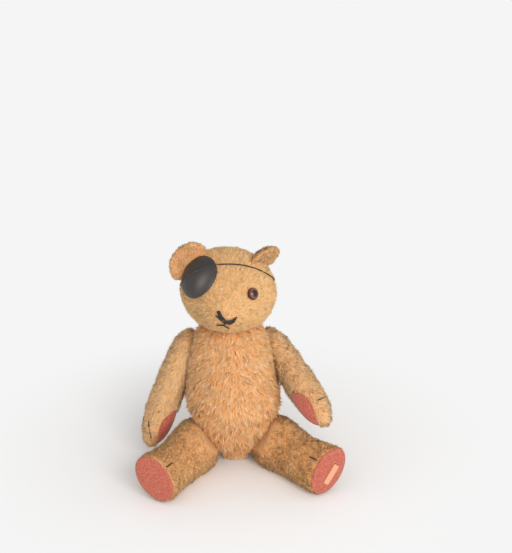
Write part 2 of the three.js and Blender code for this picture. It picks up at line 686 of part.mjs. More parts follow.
// Nose and mouth: black thread, worn down to a few strands
addPiece(face, 'nose_stitches', headStrand(NOSE_STOPS, NOSE_RADIUS, NOSE_STEPS), THREAD);
addPiece(face, 'mouth_stitches', headStrand(MOUTH_STOPS, STITCH_RADIUS, STITCH_STEPS), THREAD);

// Legs: the same for both sides, cut flat by the floor in the leg's own frame
const intoLeg = limbFrame(joints.right_hip, joints.right_hip.rise, LEG_SWING).invert();
const legShape = (depth) => limbShape(legForm, depth).subtract(solidOf(carried(below(depth), intoLeg)));
const soleBeyond = (start) => solidOf(
  carried(block([-REACH, -REACH, start], [REACH, REACH, REACH]), legBend(1)),
);
const soleStart = legEnd - COVER_WALL;
const legShell = legShape(0)
  .subtract(legShape(COVER_WALL))
  .subtract(solidOf(limbHole))
  .subtract(discRoom(LEG_DISC_RADIUS));
const legPieces = [
  ['leg_cover', legShell.subtract(soleBeyond(soleStart - SEAT_GAP)), FUR],
  ['foot_pad', legShell.intersect(soleBeyond(soleStart)), FELT],
  ['leg_stuffing', legShape(COVER_WALL + SEAT_GAP).subtract(jointPocket(LEG_DISC_RADIUS)), WADDING],
  ['foot_claw', limbStitch(legForm, LEG_MIDDLE, fromEnd(FOOT_CLAW, legEnd), legBend(1)), THREAD],
];

// Both arms and both legs, each in the frame of its own joint
for (const { name, way } of SIDES) {
  const shoulder = joints[`${name}_shoulder`];
  const hip = joints[`${name}_hip`];
  const armGroup = placedGroup(limbFrame(shoulder, shoulder.forward, ARM_SWING[name]));
  const legGroup = placedGroup(limbFrame(hip, hip.rise, LEG_SWING));
  const turned = (solid) => (way > 0 ? mirrored(solid) : solid);
  for (const [group, pieces] of [[armGroup, armPieces], [legGroup, legPieces]]) {
    for (const [piece, solid, finish] of pieces) addPiece(group, `${name}_${piece}`, turned(solid), finish);
  }
  PAW_CLAWS[name].forEach((stops, i) => {
    const stitch = limbStitch(armForm, PAW_MIDDLE, fromEnd(stops, PAW_END));
    addPiece(armGroup, `${name}_paw_claw_${i + 1}`, turned(stitch), THREAD);
  });
}

// Label: a strip of tape laid on the left sole
const leftHip = joints.left_hip;
const label = block(
  [-LABEL_LENGTH / 2, -LABEL_WIDTH / 2, 0],
  [LABEL_LENGTH / 2, LABEL_WIDTH / 2, LABEL_WALL],
);
label.rotateZ(radians(LABEL_TURN)).translate(...LABEL_PLACE, legEnd + SEAT_GAP);
const leftSole = placedGroup(limbFrame(leftHip, leftHip.rise, LEG_SWING));
addPiece(leftSole, 'foot_label', mirrored(solidOf(carried(label, legBend(1)))), TAPE);

export default bear;
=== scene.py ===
# A small jointed teddy bear of short golden plush, worn thin by years of handling, sitting with its legs
# out and a leather patch over one eye. Lengths are worked out in millimetres and put into meshes in metres.
import json

import bpy
import numpy as np
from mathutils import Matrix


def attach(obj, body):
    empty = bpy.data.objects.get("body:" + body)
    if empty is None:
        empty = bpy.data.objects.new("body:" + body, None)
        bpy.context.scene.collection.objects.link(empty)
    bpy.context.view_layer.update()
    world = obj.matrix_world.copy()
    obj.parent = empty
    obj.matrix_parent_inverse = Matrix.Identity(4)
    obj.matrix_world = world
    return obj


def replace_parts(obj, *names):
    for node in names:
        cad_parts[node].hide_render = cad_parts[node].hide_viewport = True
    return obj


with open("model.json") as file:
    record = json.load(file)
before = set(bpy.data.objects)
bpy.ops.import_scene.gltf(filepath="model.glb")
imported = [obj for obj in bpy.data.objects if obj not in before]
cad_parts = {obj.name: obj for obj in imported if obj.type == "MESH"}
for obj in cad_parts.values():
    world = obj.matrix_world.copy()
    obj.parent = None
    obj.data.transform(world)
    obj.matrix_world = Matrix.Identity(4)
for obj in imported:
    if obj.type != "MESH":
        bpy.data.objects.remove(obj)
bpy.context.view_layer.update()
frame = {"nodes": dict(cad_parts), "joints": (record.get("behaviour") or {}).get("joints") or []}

# Camera
# A lens of long focus, a little above the bear and a little to its right, framed as in the photograph.
PHOTO_WIDTH, PHOTO_HEIGHT = 512, 553
FOCAL_PIXELS = 1800
CAMERA_DISTANCE = 1.8
CAMERA_ROUND, CAMERA_ABOVE = np.radians([-5.5, 23.0])
SEAT_PIXEL = np.array([234.3, 454.6])
SENSOR = 36.0
look_back = np.array([
    np.sin(CAMERA_ROUND) * np.cos(CAMERA_ABOVE),
    -np.cos(CAMERA_ROUND) * np.cos(CAMERA_ABOVE),
    np.sin(CAMERA_ABOVE),
])
look_right = np.cross(-look_back, [0, 0, 1])
look_right /= np.linalg.norm(look_right)
look_up = np.cross(look_back, look_right)
aside, down = (SEAT_PIXEL - [PHOTO_WIDTH / 2, PHOTO_HEIGHT / 2]) / FOCAL_PIXELS * CAMERA_DISTANCE


def placed(name, data, place, right, up, back):
    """An object at a place, with its X, Y and Z along the given directions."""
    piece = bpy.data.objects.new(name, data)
    turn = np.eye(4)
    turn[:3, :3] = np.stack([right, up, back], 1)
    turn[:3, 3] = place
    piece.matrix_world = turn.T.tolist()
    bpy.context.scene.collection.objects.link(piece)
    return piece


camera_data = bpy.data.cameras.new("camera")
camera_data.sensor_width = SENSOR
camera_data.lens = SENSOR * FOCAL_PIXELS / PHOTO_HEIGHT
camera_place = look_back * CAMERA_DISTANCE - look_right * aside + look_up * down
bpy.context.scene.camera = placed("camera", camera_data, camera_place, look_right, look_up, look_back)
bpy.context.scene.view_settings.view_transform = "Standard"

# Floor
# A wide sheet of plain pale paper that the bear sits on, matt and nearly white.
FLOOR_REACH = 8.0
FLOOR_WHITE = "f7f6f5"
BACKGROUND_WHITE = "f5f5f5"
SHADOW_REACH = (0.1, 0.3)


def linear(colour):
    """An sRGB hex colour as linear red, green and blue: a straight part near black, then a power of 2.4."""
    srgb = np.array([int(colour[i:i + 2], 16) for i in (0, 2, 4)]) / 255
    return np.where(srgb <= 0.04045, srgb / 12.92, ((srgb + 0.055) / 1.055) ** 2.4)


def node(material, kind, links=(), inputs=(), **settings):
    """Adds one shader node, sets its fields and inputs, and links pairs of an output and an input to it."""
    made = material.node_tree.nodes.new(kind)
    for name, value in settings.items():
        setattr(made, name, value)
    for name, value in dict(inputs).items():
        made.inputs[name].default_value = value
    for source, name in links:
        material.node_tree.links.new(source, made.inputs[name])
    return made


def finish_of(name, **inputs):
    """A new material with only a Principled shader in its tree, which is returned with it."""
    material = bpy.data.materials.new(name)
    material.use_nodes = True
    shader = material.node_tree.nodes["Principled BSDF"]
    for field, value in inputs.items():
        shader.inputs[field.replace("_", " ")].default_value = value
    return material, shader


def shown(material, mix):
    """Makes a mix of shaders what a material shows."""
    surface = material.node_tree.nodes["Material Output"].inputs["Surface"]
    material.node_tree.links.new(mix.outputs["Shader"], surface)


def mesh_object(name, points, faces, material):
    """A smooth mesh from points in millimetres and lists of corner numbers."""
    mesh = bpy.data.meshes.new(name)
    mesh.from_pydata((np.asarray(points) / 1000).tolist(), [], faces)
    mesh.shade_smooth()
    mesh.materials.append(material)
    piece = bpy.data.objects.new(name, mesh)
    bpy.context.scene.collection.objects.link(piece)
    return piece


# Matt paper, which takes the bear's shadow. Past the shadow the camera sees it as an even white.
paper, paper_shader = finish_of(
    "matt white paper", Base_Color=(*linear(FLOOR_WHITE), 1), Roughness=0.95, IOR=1.3,
)
paper_place = node(paper, "ShaderNodeTexCoord")
from_bear = node(paper, "ShaderNodeVectorMath", [(paper_place.outputs["Object"], 0)], operation="LENGTH")
past_shadow = node(
    paper, "ShaderNodeMapRange", [(from_bear.outputs["Value"], "Value")],
    {"From Min": SHADOW_REACH[0], "From Max": SHADOW_REACH[1]}, interpolation_type="SMOOTHSTEP",
)
seen = node(paper, "ShaderNodeLightPath")
seen_white = node(
    paper, "ShaderNodeMath", [(past_shadow.outputs["Result"], 0), (seen.outputs["Is Camera Ray"], 1)],
    operation="MULTIPLY",
)
even_white = node(
    paper, "ShaderNodeEmission", (), {"Color": (*linear(BACKGROUND_WHITE), 1), "Strength": 1.0},
)
paper_mix = node(paper, "ShaderNodeMixShader", [
    (seen_white.outputs["Value"], 0), (paper_shader.outputs["BSDF"], 1), (even_white.outputs["Emission"], 2),
])
shown(paper, paper_mix)
corners = np.array([[-1, -1, 0], [1, -1, 0], [1, 1, 0], [-1, 1, 0]]) * FLOOR_REACH * 1000
floor = mesh_object("floor", corners, [[0, 1, 2, 3]], paper)

# Light
# One broad soft lamp near the camera and above it, and even white light from all round.
KEY_POWER = 36.0
KEY_SIZE = 1.4
KEY_PLACE = np.array([0.6, -2.1, 1.1])
FILL_STRENGTH = 0.72
key_data = bpy.data.lights.new("soft key lamp", "AREA")
key_data.energy = KEY_POWER
key_data.size = KEY_SIZE
key_back = KEY_PLACE / np.linalg.norm(KEY_PLACE)
key_right = np.cross([0, 0, 1], key_back)
key_right /= np.linalg.norm(key_right)
placed("soft key lamp", key_data, KEY_PLACE, key_right, np.cross(key_back, key_right), key_back)
world = bpy.data.worlds.new("white room")
world.use_nodes = True
world.node_tree.nodes["Background"].inputs["Color"].default_value = (1, 1, 1, 1)
world.node_tree.nodes["Background"].inputs["Strength"].default_value = FILL_STRENGTH
bpy.context.scene.world = world

# Body
# A sewn plush bag, packed hard, pear shaped and sitting on its lowest point. Its pile is worn down to the
# woven backing in streaks along the front, where a seam joins the two halves.
BODY_LENGTH = 152
BODY_WIDE, BODY_DEEP = 45.5, 41
BODY_STATIONS = np.array([
    [0, 0.7 * BODY_WIDE, 0.55 * BODY_DEEP, 0, 8],
    [0.2, 0.98 * BODY_WIDE, 0.88 * BODY_DEEP, 0, 3],
    [0.42, BODY_WIDE, BODY_DEEP, 0, -4],
    [0.7, 0.91 * BODY_WIDE, 0.9 * BODY_DEEP, 0, -1],
    [1, 0.8 * BODY_WIDE, 0.74 * BODY_DEEP, 0, 0],
])
BODY_LEAN = np.radians([12, 2])
BODY_SHIFT = np.array([1.7, -9.2, -3])
PILE_DEPTH = np.array([0, 1.6, 1.6, 0, 0])
JOINT_REACH = {
    "neck_turn": 30,
    "right_shoulder_swing": 13,
    "left_shoulder_swing": 13,
    "right_hip_swing": 23,
    "left_hip_swing": 23,
}
JOINT_OUT = {
    "neck_turn": 1,
    "right_shoulder_swing": 1,
    "left_shoulder_swing": -1,
    "right_hip_swing": 1,
    "left_hip_swing": -1,
}
JOINT_GAP = 0.3
CLOTH_PRESSURE, CLOTH_STIFFNESS = 4, 5
CLOTH_FRAMES = 20
joints = {j["name"]: j for j in frame["joints"]}


def joint_at(name):
    """The middle of a joint in millimetres, and the direction out of the body along its pin."""
    joint = joints[name]
    return np.array(joint["pos_m"]) * 1000, np.array(joint["axis"]) * JOINT_OUT[name]


def round_grid(rings, sides):
    """A sphere's grid: each corner's angle round the axis and its height from -1 to 1, and the faces."""
    angle, slope = np.meshgrid(np.arange(sides) * 2 * np.pi / sides, np.linspace(0, np.pi, rings + 1)[1:-1])
    angle = np.concatenate([[0], angle.ravel(), [0]])
    height = np.concatenate([[-1], -np.cos(slope).ravel(), [1]])
    ring = np.arange(sides)
    turn = (ring + 1) % sides
    low = 1 + ring
    top = 1 + (rings - 2) * sides
    rows = 1 + np.arange(rings - 2)[:, None] * sides
    quads = np.stack([rows + ring, rows + turn, rows + turn + sides, rows + ring + sides], -1).reshape(-1, 4)
    caps = np.concatenate([
        np.stack([np.zeros(sides, int), 1 + turn, low], -1),
        np.stack([np.full(sides, top + sides), top + ring, top + turn], -1),
    ])
    return angle, height, quads.tolist() + caps.tolist()


def between(stations, share):
    """Values at a share of the length: a cubic through the stations whose slopes are their gradients."""
    at, values = stations[:, 0], stations[:, 1:]
    slope = np.gradient(values, at, axis=0)
    k = np.clip(np.searchsorted(at, share, side="right") - 1, 0, len(at) - 2)
    span = (at[k + 1] - at[k])[:, None]
    t = (share - at[k])[:, None] / span
    rise = t * t * (3 - 2 * t)
    return (
        values[k] * (1 - rise) + values[k + 1] * rise
        + span * (t * (1 - t) ** 2 * slope[k] - t * t * (1 - t) * slope[k + 1])
    )


def stuffed_form(angle, height, stations, start, length, blunt):
    """A sphere drawn out along Z: an ellipse at each height, closing at each end as the root of one less a
    power of the height, so that a larger power is blunter."""
    half_x, half_y, mid_x, mid_y = between(stations, (1 + height) / 2).T
    power = np.where(height < 0, blunt[0], blunt[1])
    swell = np.sqrt(np.maximum(1 - np.abs(height) ** power, 0))
    return np.stack([
        mid_x + half_x * swell * np.cos(angle),
        mid_y + half_y * swell * np.sin(angle),
        start + (1 + height) / 2 * length,
    ], -1)


def pressed(points, place, out, soft=1.5):
    """Points past a plane are laid on it, and those near it are eased, by a smooth maximum with zero."""
    over = (points - place) @ out
    step = 0.5 * (over + np.sqrt(over ** 2 + soft ** 2)) - 0.5 * soft * np.exp(-np.abs(over) / soft)
    return points - np.maximum(step, 0)[:, None] * out


def turned(points, axis, angle):
    """Points turned about one of the three axes by the right-hand rule."""
    a, b = [(1, 2), (2, 0), (0, 1)][axis]
    made = points.copy()
    made[:, a] = points[:, a] * np.cos(angle) - points[:, b] * np.sin(angle)
    made[:, b] = points[:, a] * np.sin(angle) + points[:, b] * np.cos(angle)
    return made


def ease(value, low, high):
    """0 below low and 1 above high, with a smooth step between."""
    t = np.clip((value - low) / (high - low), 0, 1)
    return t * t * (3 - 2 * t)


def mottle(points, size, seed):
    """Smooth noise from 0 to 1: random numbers on a lattice of the given size, blended between corners."""
    table = np.random.default_rng(seed).random((32, 32, 32))
    cell = np.floor(points / size).astype(int)
    t = points / size - cell
    t = t * t * (3 - 2 * t)
    total = 0
    for corner in np.ndindex(2, 2, 2):
        i, j, k = ((cell + corner) % 32).T
        total = total + table[i, j, k] * np.prod(np.where(corner, t, 1 - t), axis=1)
    return total


def corner_points(piece):
    """The corners of a mesh in millimetres."""
    points = np.empty(len(piece.data.vertices) * 3, np.float32)
    piece.data.vertices.foreach_get("co", points)
    return points.reshape(-1, 3) * 1000


def stuff(piece, held, cap):
    """Cloth swollen by the stuffing. It is held where marked, and no point moves further than the cap."""
    before = corner_points(piece)
    piece.vertex_groups.new(name="sewn").add(np.flatnonzero(held).tolist(), 1.0, "REPLACE")
    cloth = piece.modifiers.new("stuffing", "CLOTH")
    cloth.settings.vertex_group_mass = "sewn"
    cloth.settings.use_pressure = True
    cloth.settings.uniform_pressure_force = CLOTH_PRESSURE
    cloth.settings.effector_weights.gravity = 0
    cloth.settings.tension_stiffness = CLOTH_STIFFNESS
    cloth.settings.compression_stiffness = CLOTH_STIFFNESS
    cloth.point_cache.frame_end = CLOTH_FRAMES
    for frame_number in range(1, CLOTH_FRAMES + 1):
        bpy.context.scene.frame_set(frame_number)
    swollen = piece.evaluated_get(bpy.context.evaluated_depsgraph_get()).to_mesh()
    after = np.empty(before.size, np.float32)
    swollen.vertices.foreach_get("co", after)
    piece.modifiers.remove(cloth)
    bpy.context.scene.frame_set(1)
    step = after.reshape(-1, 3) * 1000 - before
    far = np.maximum(np.linalg.norm(step, axis=1), 1e-6)
    step *= np.minimum(1, cap / far)[:, None]
    piece.data.vertices.foreach_set("co", ((before + step) / 1000).ravel())
    piece.data.update()


def specks(material, scale, detail=2.0):
    """Noise on a piece's own coordinates, with the scale's number of specks to a metre, from 0 to 1."""
    place = node(material, "ShaderNodeTexCoord")
    made = node(material, "ShaderNodeTexNoise", (), {"Scale": scale, "Detail": detail})
    material.node_tree.links.new(place.outputs["Object"], made.inputs["Vector"])
    return made.outputs["Fac"]


def two_toned(material, shader, share, dark, pale):
    """Sets a shader's colour between two colours, by a socket from 0 to 1."""
    tone = node(material, "ShaderNodeMix", [(share, "Factor")], data_type="RGBA")
    tone.inputs["A"].default_value = (*linear(dark), 1)
    tone.inputs["B"].default_value = (*linear(pale), 1)
    material.node_tree.links.new(tone.outputs["Result"], shader.inputs["Base Color"])


def tint_corners(mesh, name, colours):
    """Stores a linear colour at each corner of a mesh."""
    data = np.ones((len(colours), 4), np.float32)
    data[:, :3] = colours
    mesh.color_attributes.new(name, "FLOAT_COLOR", "POINT").data.foreach_set("color", data.ravel())


# Cotton backing: plain woven cloth under the pile, dull, and uneven in patches about 4 mm across.
cotton, cotton_shader = finish_of("woven cotton backing", Roughness=0.95, IOR=1.4)
two_toned(cotton, cotton_shader, specks(cotton, 260.0), "d29a64", "ebbb8a")

# Mohair: fine lustrous hair, so a soft sheen and no sharp gloss. Its colour is stored on each tuft. Part of
# the light passes on between the hairs of a tuft, so a tuft shades the next one only in part.
HAIR_LETS_THROUGH = 0.72
# Painted highlights: a share of the tufts get pale tips, which stand in for the glints of lit hair.
HIGHLIGHT_TIP, HIGHLIGHT_TIP_SHARE = "fff0d2", 0.14
CLUMP_SIZE, SPECK_SIZE, FADE_SIZE = 3.5, 2.0, 11
TUFT_THICK = (0.06, 0.16)
TUFT_SUNK = 0.3
mohair, mohair_shader = finish_of("golden mohair pile", Roughness=0.6, IOR=1.4, Specular_IOR_Level=0.3)
tuft_colour = node(mohair, "ShaderNodeAttribute", attribute_name="tuft")
mohair.node_tree.links.new(tuft_colour.outputs["Color"], mohair_shader.inputs["Base Color"])
towards_lamp = node(mohair, "ShaderNodeLightPath")
passing = node(
    mohair, "ShaderNodeMath", [(towards_lamp.outputs["Is Shadow Ray"], 0)], {1: HAIR_LETS_THROUGH},
    operation="MULTIPLY",
)
between_hairs = node(mohair, "ShaderNodeBsdfTransparent")
thinned = node(mohair, "ShaderNodeMixShader", [
    (passing.outputs["Value"], 0), (mohair_shader.outputs["BSDF"], 1), (between_hairs.outputs["BSDF"], 2),
])
shown(mohair, thinned)


def pile(name, skin, nap, cover, tufts, length, lean, root, tip, seed):
    """Tufts of hair on a skin: thin three-sided spikes. Each stands on a random place, leans from the
    skin's normal towards the nap, and shades from a root colour to a tip colour. Cover is from 0 to 1 at
    each corner of the skin, and gives both how many tufts stand there and how long they are."""
    rng = np.random.default_rng(seed)
    mesh = skin.data
    mesh.calc_loop_triangles()
    corners = np.empty(len(mesh.loop_triangles) * 3, np.int32)
    mesh.loop_triangles.foreach_get("vertices", corners)
    corners = corners.reshape(-1, 3)
    points = corner_points(skin)
    normals = np.empty(points.size, np.float32)
    mesh.vertex_normals.foreach_get("vector", normals)
    normals = normals.reshape(-1, 3)
    a, b, c = points[corners].transpose(1, 0, 2)
    weight = np.linalg.norm(np.cross(b - a, c - a), axis=1) * cover[corners].mean(1)
    pick = corners[rng.choice(len(corners), tufts, p=weight / weight.sum())]
    share = rng.dirichlet([1, 1, 1], tufts)[:, :, None]
    place = (points[pick] * share).sum(1)
    out = (normals[pick] * share).sum(1)
    out /= np.linalg.norm(out, axis=1)[:, None]
    along = (nap[pick] * share).sum(1)
    along -= out * (along * out).sum(1)[:, None]
    along /= np.maximum(np.linalg.norm(along, axis=1), 1e-6)[:, None]
    full = (cover[pick][:, :, None] * share).sum(1)
    slant = lean + rng.normal(0, 0.15, tufts)[:, None]
    sway = np.stack([mottle(place, CLUMP_SIZE, seed + k) for k in (101, 102, 103)], -1) - 0.5
    aim = out * np.cos(slant) + along * np.sin(slant) + 1.1 * sway + rng.normal(0, 0.14, (tufts, 3))
    aim /= np.linalg.norm(aim, axis=1)[:, None]
    reach = length * (0.55 + 0.45 * full) * rng.uniform(0.6, 1.25, (tufts, 1))
    side = np.cross(aim, out + rng.normal(0, 0.4, (tufts, 3)))
    side /= np.maximum(np.linalg.norm(side, axis=1), 1e-6)[:, None]
    up = np.cross(aim, side)
    thick = length * rng.uniform(*TUFT_THICK, (tufts, 1))
    spin = rng.uniform(0, 2 * np.pi, (tufts, 1))
    feet = [
        place - TUFT_SUNK * out + thick * (np.cos(spin + turn) * side + np.sin(spin + turn) * up)
        for turn in (0, 2 * np.pi / 3, 4 * np.pi / 3)
    ]
    ends = place + reach * aim
    ends[:, 2] = np.maximum(ends[:, 2], 0.1)
    corners_of_all = np.stack([*feet, ends], 1).reshape(-1, 3)
    corners_of_all[:, 2] = np.maximum(corners_of_all[:, 2], 0.05)
    first = np.arange(tufts)[:, None] * 4
    faces = np.stack([first + [0, 1, 3], first + [1, 2, 3], first + [2, 0, 3]], 1).reshape(-1)
    grown = bpy.data.meshes.new(name)
    grown.vertices.add(tufts * 4)
    grown.vertices.foreach_set("co", (corners_of_all / 1000).astype(np.float32).ravel())
    grown.loops.add(tufts * 9)
    grown.loops.foreach_set("vertex_index", faces.astype(np.int32))
    grown.polygons.add(tufts * 3)
    grown.polygons.foreach_set("loop_start", np.arange(0, tufts * 9, 3, dtype=np.int32))
    grown.update(calc_edges=True)
    grown.shade_smooth()
    patchy = 0.66 + 0.5 * mottle(place, SPECK_SIZE, seed + 104) + 0.16 * mottle(place, FADE_SIZE, seed + 105)
    shade = np.clip(rng.normal(1.02, 0.2, (tufts, 1, 1)), 0.8, 1.5) * patchy[:, None, None]
    tints = np.stack([linear(root), linear(root), linear(root), linear(tip)])[None] * shade
    # Painted highlights: these tufts take the pale highlight colour at their tips.
    highlight_tipped = rng.random(tufts) < HIGHLIGHT_TIP_SHARE
    tints[highlight_tipped, 3] = linear(HIGHLIGHT_TIP)
    tints /= np.maximum(tints.max(axis=2, keepdims=True), 1)
    tint_corners(grown, "tuft", tints.reshape(-1, 3))
    lie = out + 0.5 * sway + rng.normal(0, 0.32, (tufts, 3))
    lie /= np.linalg.norm(lie, axis=1)[:, None]
    grown.normals_split_custom_set_from_vertices(np.repeat(lie, 4, axis=0).tolist())
    grown.materials.append(mohair)
    piece = bpy.data.objects.new(name, grown)
    bpy.context.scene.collection.objects.link(piece)
    return piece


angle, height, faces = round_grid(52, 72)
body = stuffed_form(angle, height, BODY_STATIONS - PILE_DEPTH, 0, BODY_LENGTH, (2, 6))
body = turned(turned(body, 0, -BODY_LEAN[0]), 1, -BODY_LEAN[1]) + BODY_SHIFT
clear = np.full(len(body), 99.0)
bare = np.zeros(len(body))
for name, reach in JOINT_REACH.items():
    middle, out = joint_at(name)
    body = pressed(body, middle - JOINT_GAP * out, out)
    depth = -(body - middle) @ out
    aside = np.linalg.norm(body - middle + depth[:, None] * out, axis=1)
    clear = np.minimum(clear, depth)
    bare = np.maximum(bare, (1 - ease(depth, 0.3, 2.5)) * (1 - ease(aside, reach, reach + 5)))
body = pressed(body, np.zeros(3), np.array([0.0, 0, -1]))
body_skin = mesh_object("body_plush", body, faces, cotton)
front_seam = np.abs(np.cos(angle)) < 0.02
stuff(body_skin, front_seam | (clear < 1.5) | (body[:, 2] < 1), 1.6)
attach(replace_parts(body_skin, "body_cover"), "torso")
streaks = mottle(body * [1, 1, 0.18], 3.2, 11) * ease(-body[:, 1], -10, 25)
seam_off = np.where(np.sin(angle) < 0, np.abs(np.cos(angle)) * BODY_WIDE, 99)
body_cover = (1 - bare) * (1 - 0.55 * ease(streaks, 0.45, 0.8)) * (0.45 + 0.55 * ease(seam_off, 0.5, 3))
body_nap = np.stack([0.25 * np.sign(body[:, 0]), 0 * angle, -np.ones(len(angle))], -1)
body_pile = pile(
    "body_pile", body_skin, body_nap, body_cover, 46000, 6.4, 1.05, "e8985a", "ffcb8c", 1,
)
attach(body_pile, "torso")

# Head
# A wide ball of plush with a short muzzle, turned on the neck's disc joint. Its pile is short and rubbed
# into small curls that point away from the nose.
HEAD_HALF = np.array([47.0, 42, 42])
HEAD_RISE = 34
HEAD_NOD, HEAD_ROLL, HEAD_TURN = np.radians([-5, 13, -5.5])
NECK_TILT = np.radians(4)
MUZZLE_OUT = 15
MUZZLE_SPREAD = np.radians(34)
MUZZLE_DROP = -14


def face_direction(turn, rise):
    """The direction from the middle of the head at degrees round from the face and degrees up."""
    a, e = np.radians(turn), np.radians(rise)
    return np.stack([np.sin(a) * np.cos(e), -np.cos(a) * np.cos(e), np.sin(e) * np.ones_like(a)], -1)


def head_form(direction, under=0.0):
    """An ellipsoid, pushed out along the muzzle by a bell curve of the angle from it. The cloth under the
    pile is smaller all round."""
    aim = face_direction(0.0, MUZZLE_DROP)
    away = np.arccos(np.clip(direction @ aim, -1, 1)) / MUZZLE_SPREAD
    return direction * (HEAD_HALF - under) + aim * (MUZZLE_OUT * np.exp(-away ** 2))[..., None]


def head_skin(turn, rise):
    """Points of the head seen from its middle at the given places, and the normals there. A few steps move
    the form's own direction until its point lies on the wanted line."""
    wanted = face_direction(np.asarray(turn, float), np.asarray(rise, float))

    def found(line):
        guess = line.copy()
        for _ in range(25):
            point = head_form(guess)
            guess += line - point / np.linalg.norm(point, axis=-1, keepdims=True)
            guess /= np.linalg.norm(guess, axis=-1, keepdims=True)
        return head_form(guess)

    point = found(wanted)
    side = np.cross(wanted, [0, 0, 1.0])
    side /= np.linalg.norm(side, axis=-1, keepdims=True)
    over = np.cross(side, wanted)
    beside, above = [
        found((wanted + 0.02 * way) / np.linalg.norm(wanted + 0.02 * way, axis=-1, keepdims=True))
        for way in (side, over)
    ]
    normal = np.cross(above - point, beside - point)
    return point, normal / np.linalg.norm(normal, axis=-1, keepdims=True)


def from_face(points):
    """Points in the head's own frame carried to the bear: nod, roll, turn and rise, then the neck's tilt."""
    made = turned(turned(turned(points, 0, HEAD_NOD), 1, HEAD_ROLL), 2, HEAD_TURN)
    return turned(made + [0, 0, HEAD_RISE], 0, -NECK_TILT) + joint_at("neck_turn")[0]


def into_face(points):
    """The same the other way."""
    made = turned(points - joint_at("neck_turn")[0], 0, NECK_TILT) - [0, 0, HEAD_RISE]
    return turned(turned(turned(made, 2, -HEAD_TURN), 1, -HEAD_ROLL), 0, -HEAD_NOD)


angle, height, faces = round_grid(48, 72)
ring = np.sqrt(1 - height ** 2)
direction = np.stack([ring * np.cos(angle), ring * np.sin(angle), height], -1)
neck_place, neck_out = joint_at("neck_turn")
head = pressed(from_face(head_form(direction, PILE_DEPTH[1])), neck_place + JOINT_GAP * neck_out, -neck_out)
neck_clear = (head - neck_place) @ neck_out
head_skin_piece = mesh_object("head_plush", head, faces, cotton)
stuff(head_skin_piece, (neck_clear < 1.5) | (np.abs(direction[:, 0]) < 0.02), 1.2)
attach(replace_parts(head_skin_piece, "head_cover"), "head")

# Eye
# A glass button, one of a pair, with a black pupil painted behind an amber ring, drawn in by a wire shank.
EYE_TURN, EYE_RISE = 28, 14
EYE_RADIUS, EYE_HEIGHT, EYE_BACK = 6.0, 4.5, 0.6
EYE_OFF = 0.5
PUPIL_SHARE, RIM_SHARE = 0.58, 0.86


def frame_on(normal):
    """Right, up and out directions on the head, with up as near to the head's own as it can be."""
    right = np.cross([0, 0, 1.0], normal)
    right /= np.linalg.norm(right)
    return np.stack([right, np.cross(normal, right), normal])


eye_point, eye_normal = head_skin(EYE_TURN, EYE_RISE)
angle, height, faces = round_grid(48, 48)
far = np.sqrt(1 - height ** 2)
button = np.stack([
    EYE_RADIUS * far * np.cos(angle),
    EYE_RADIUS * far * np.sin(angle),
    EYE_OFF + np.where(height > 0, EYE_HEIGHT, EYE_BACK) * height,
], -1)
# Blown glass: clear and very smooth, so its colour is that of the paint behind it under a sharp gloss.
glass, glass_shader = finish_of(
    "painted blown glass", Roughness=0.3, IOR=1.45, Coat_Weight=0.6, Coat_Roughness=0.02,
)
eye = mesh_object("glass_eye", from_face(eye_point + button @ frame_on(eye_normal)), faces, glass)
paint = np.where(
    (far < PUPIL_SHARE)[:, None], linear("0b0807"),
    np.where((far < RIM_SHARE)[:, None], linear("86351a"), linear("3c140c")),
)
tint_corners(eye.data, "paint", paint)
paint_node = node(glass, "ShaderNodeAttribute", attribute_name="paint")
glass.node_tree.links.new(paint_node.outputs["Color"], glass_shader.inputs["Base Color"])
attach(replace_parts(eye, "eye"), "head")

# Eye patch
# A piece of black leather, cut nearly round and stretched into a shallow dome over the eye. A strip along
# its top edge is folded over and sewn down with small stitches.
PATCH_TURN, PATCH_RISE = -51, 19
PATCH_HALF = np.array([24.8, 24.4])
PATCH_SHIFT = np.array([-3.4, -1.9])
PATCH_TILT = np.radians(-10)
PATCH_TAPER = 0.04
PATCH_OFF, PATCH_BULGE, PATCH_WALL = 1.2, 4.4, 1.3
SEAM_RISE, SEAM_SLOPE = 3.2, 1.08
SEAM_SPAN = (-17, 11.5)
SEAM_STITCHES = 15
STITCH_PAST, STITCH_OFF, STITCH_RADIUS = 1.6, 0.1, 0.3
# Middle and half size of the painted sheen, a paler spot on the patch's dome, in millimetres across the flat
# patch.
SHEEN_MIDDLE, SHEEN_HALF = np.array([11.0, -4]), np.array([4.5, 8])


def disc_grid(rings, sides):
    """A disc's grid: each corner's distance from the middle, from 0 to 1, its angle, and the faces."""
    ring = np.arange(sides)
    far, angle = np.meshgrid(np.arange(1, rings + 1) / rings, ring * 2 * np.pi / sides, indexing="ij")
    turn = (ring + 1) % sides
    rows = 1 + np.arange(rings - 1)[:, None] * sides
    quads = np.stack([rows + ring, rows + ring + sides, rows + turn + sides, rows + turn], -1).reshape(-1, 4)
    middle = np.stack([np.zeros(sides, int), 1 + ring, 1 + turn], -1)
    return np.append(0, far.ravel()), np.append(0, angle.ravel()), quads.tolist() + middle.tolist()


def with_wall(piece, wall):
    """Gives a sheet its thickness, inwards from the side that shows."""
    made = piece.modifiers.new("thickness", "SOLIDIFY")
    made.thickness = wall / 1000
    made.offset = -1


def bumped(material, shader, height, strength, distance):
    """Roughens a shader's surface by a socket that gives a height."""
    bump = node(
        material, "ShaderNodeBump", [(height, "Height")], {"Strength": strength, "Distance": distance},
    )
    material.node_tree.links.new(bump.outputs["Normal"], shader.inputs["Normal"])


patch_point, patch_normal = head_skin(PATCH_TURN, PATCH_RISE)
patch_axes = frame_on(patch_normal)


def on_patch(flat):
    """Places on the head under points of the flat patch, seen from the middle of the head, and normals."""
    line = patch_point + flat @ patch_axes[:2]
    line = line / np.linalg.norm(line, axis=1)[:, None]
    turn = np.degrees(np.arctan2(line[:, 0], -line[:, 1]))
    return head_skin(turn, np.degrees(np.arcsin(line[:, 2])))


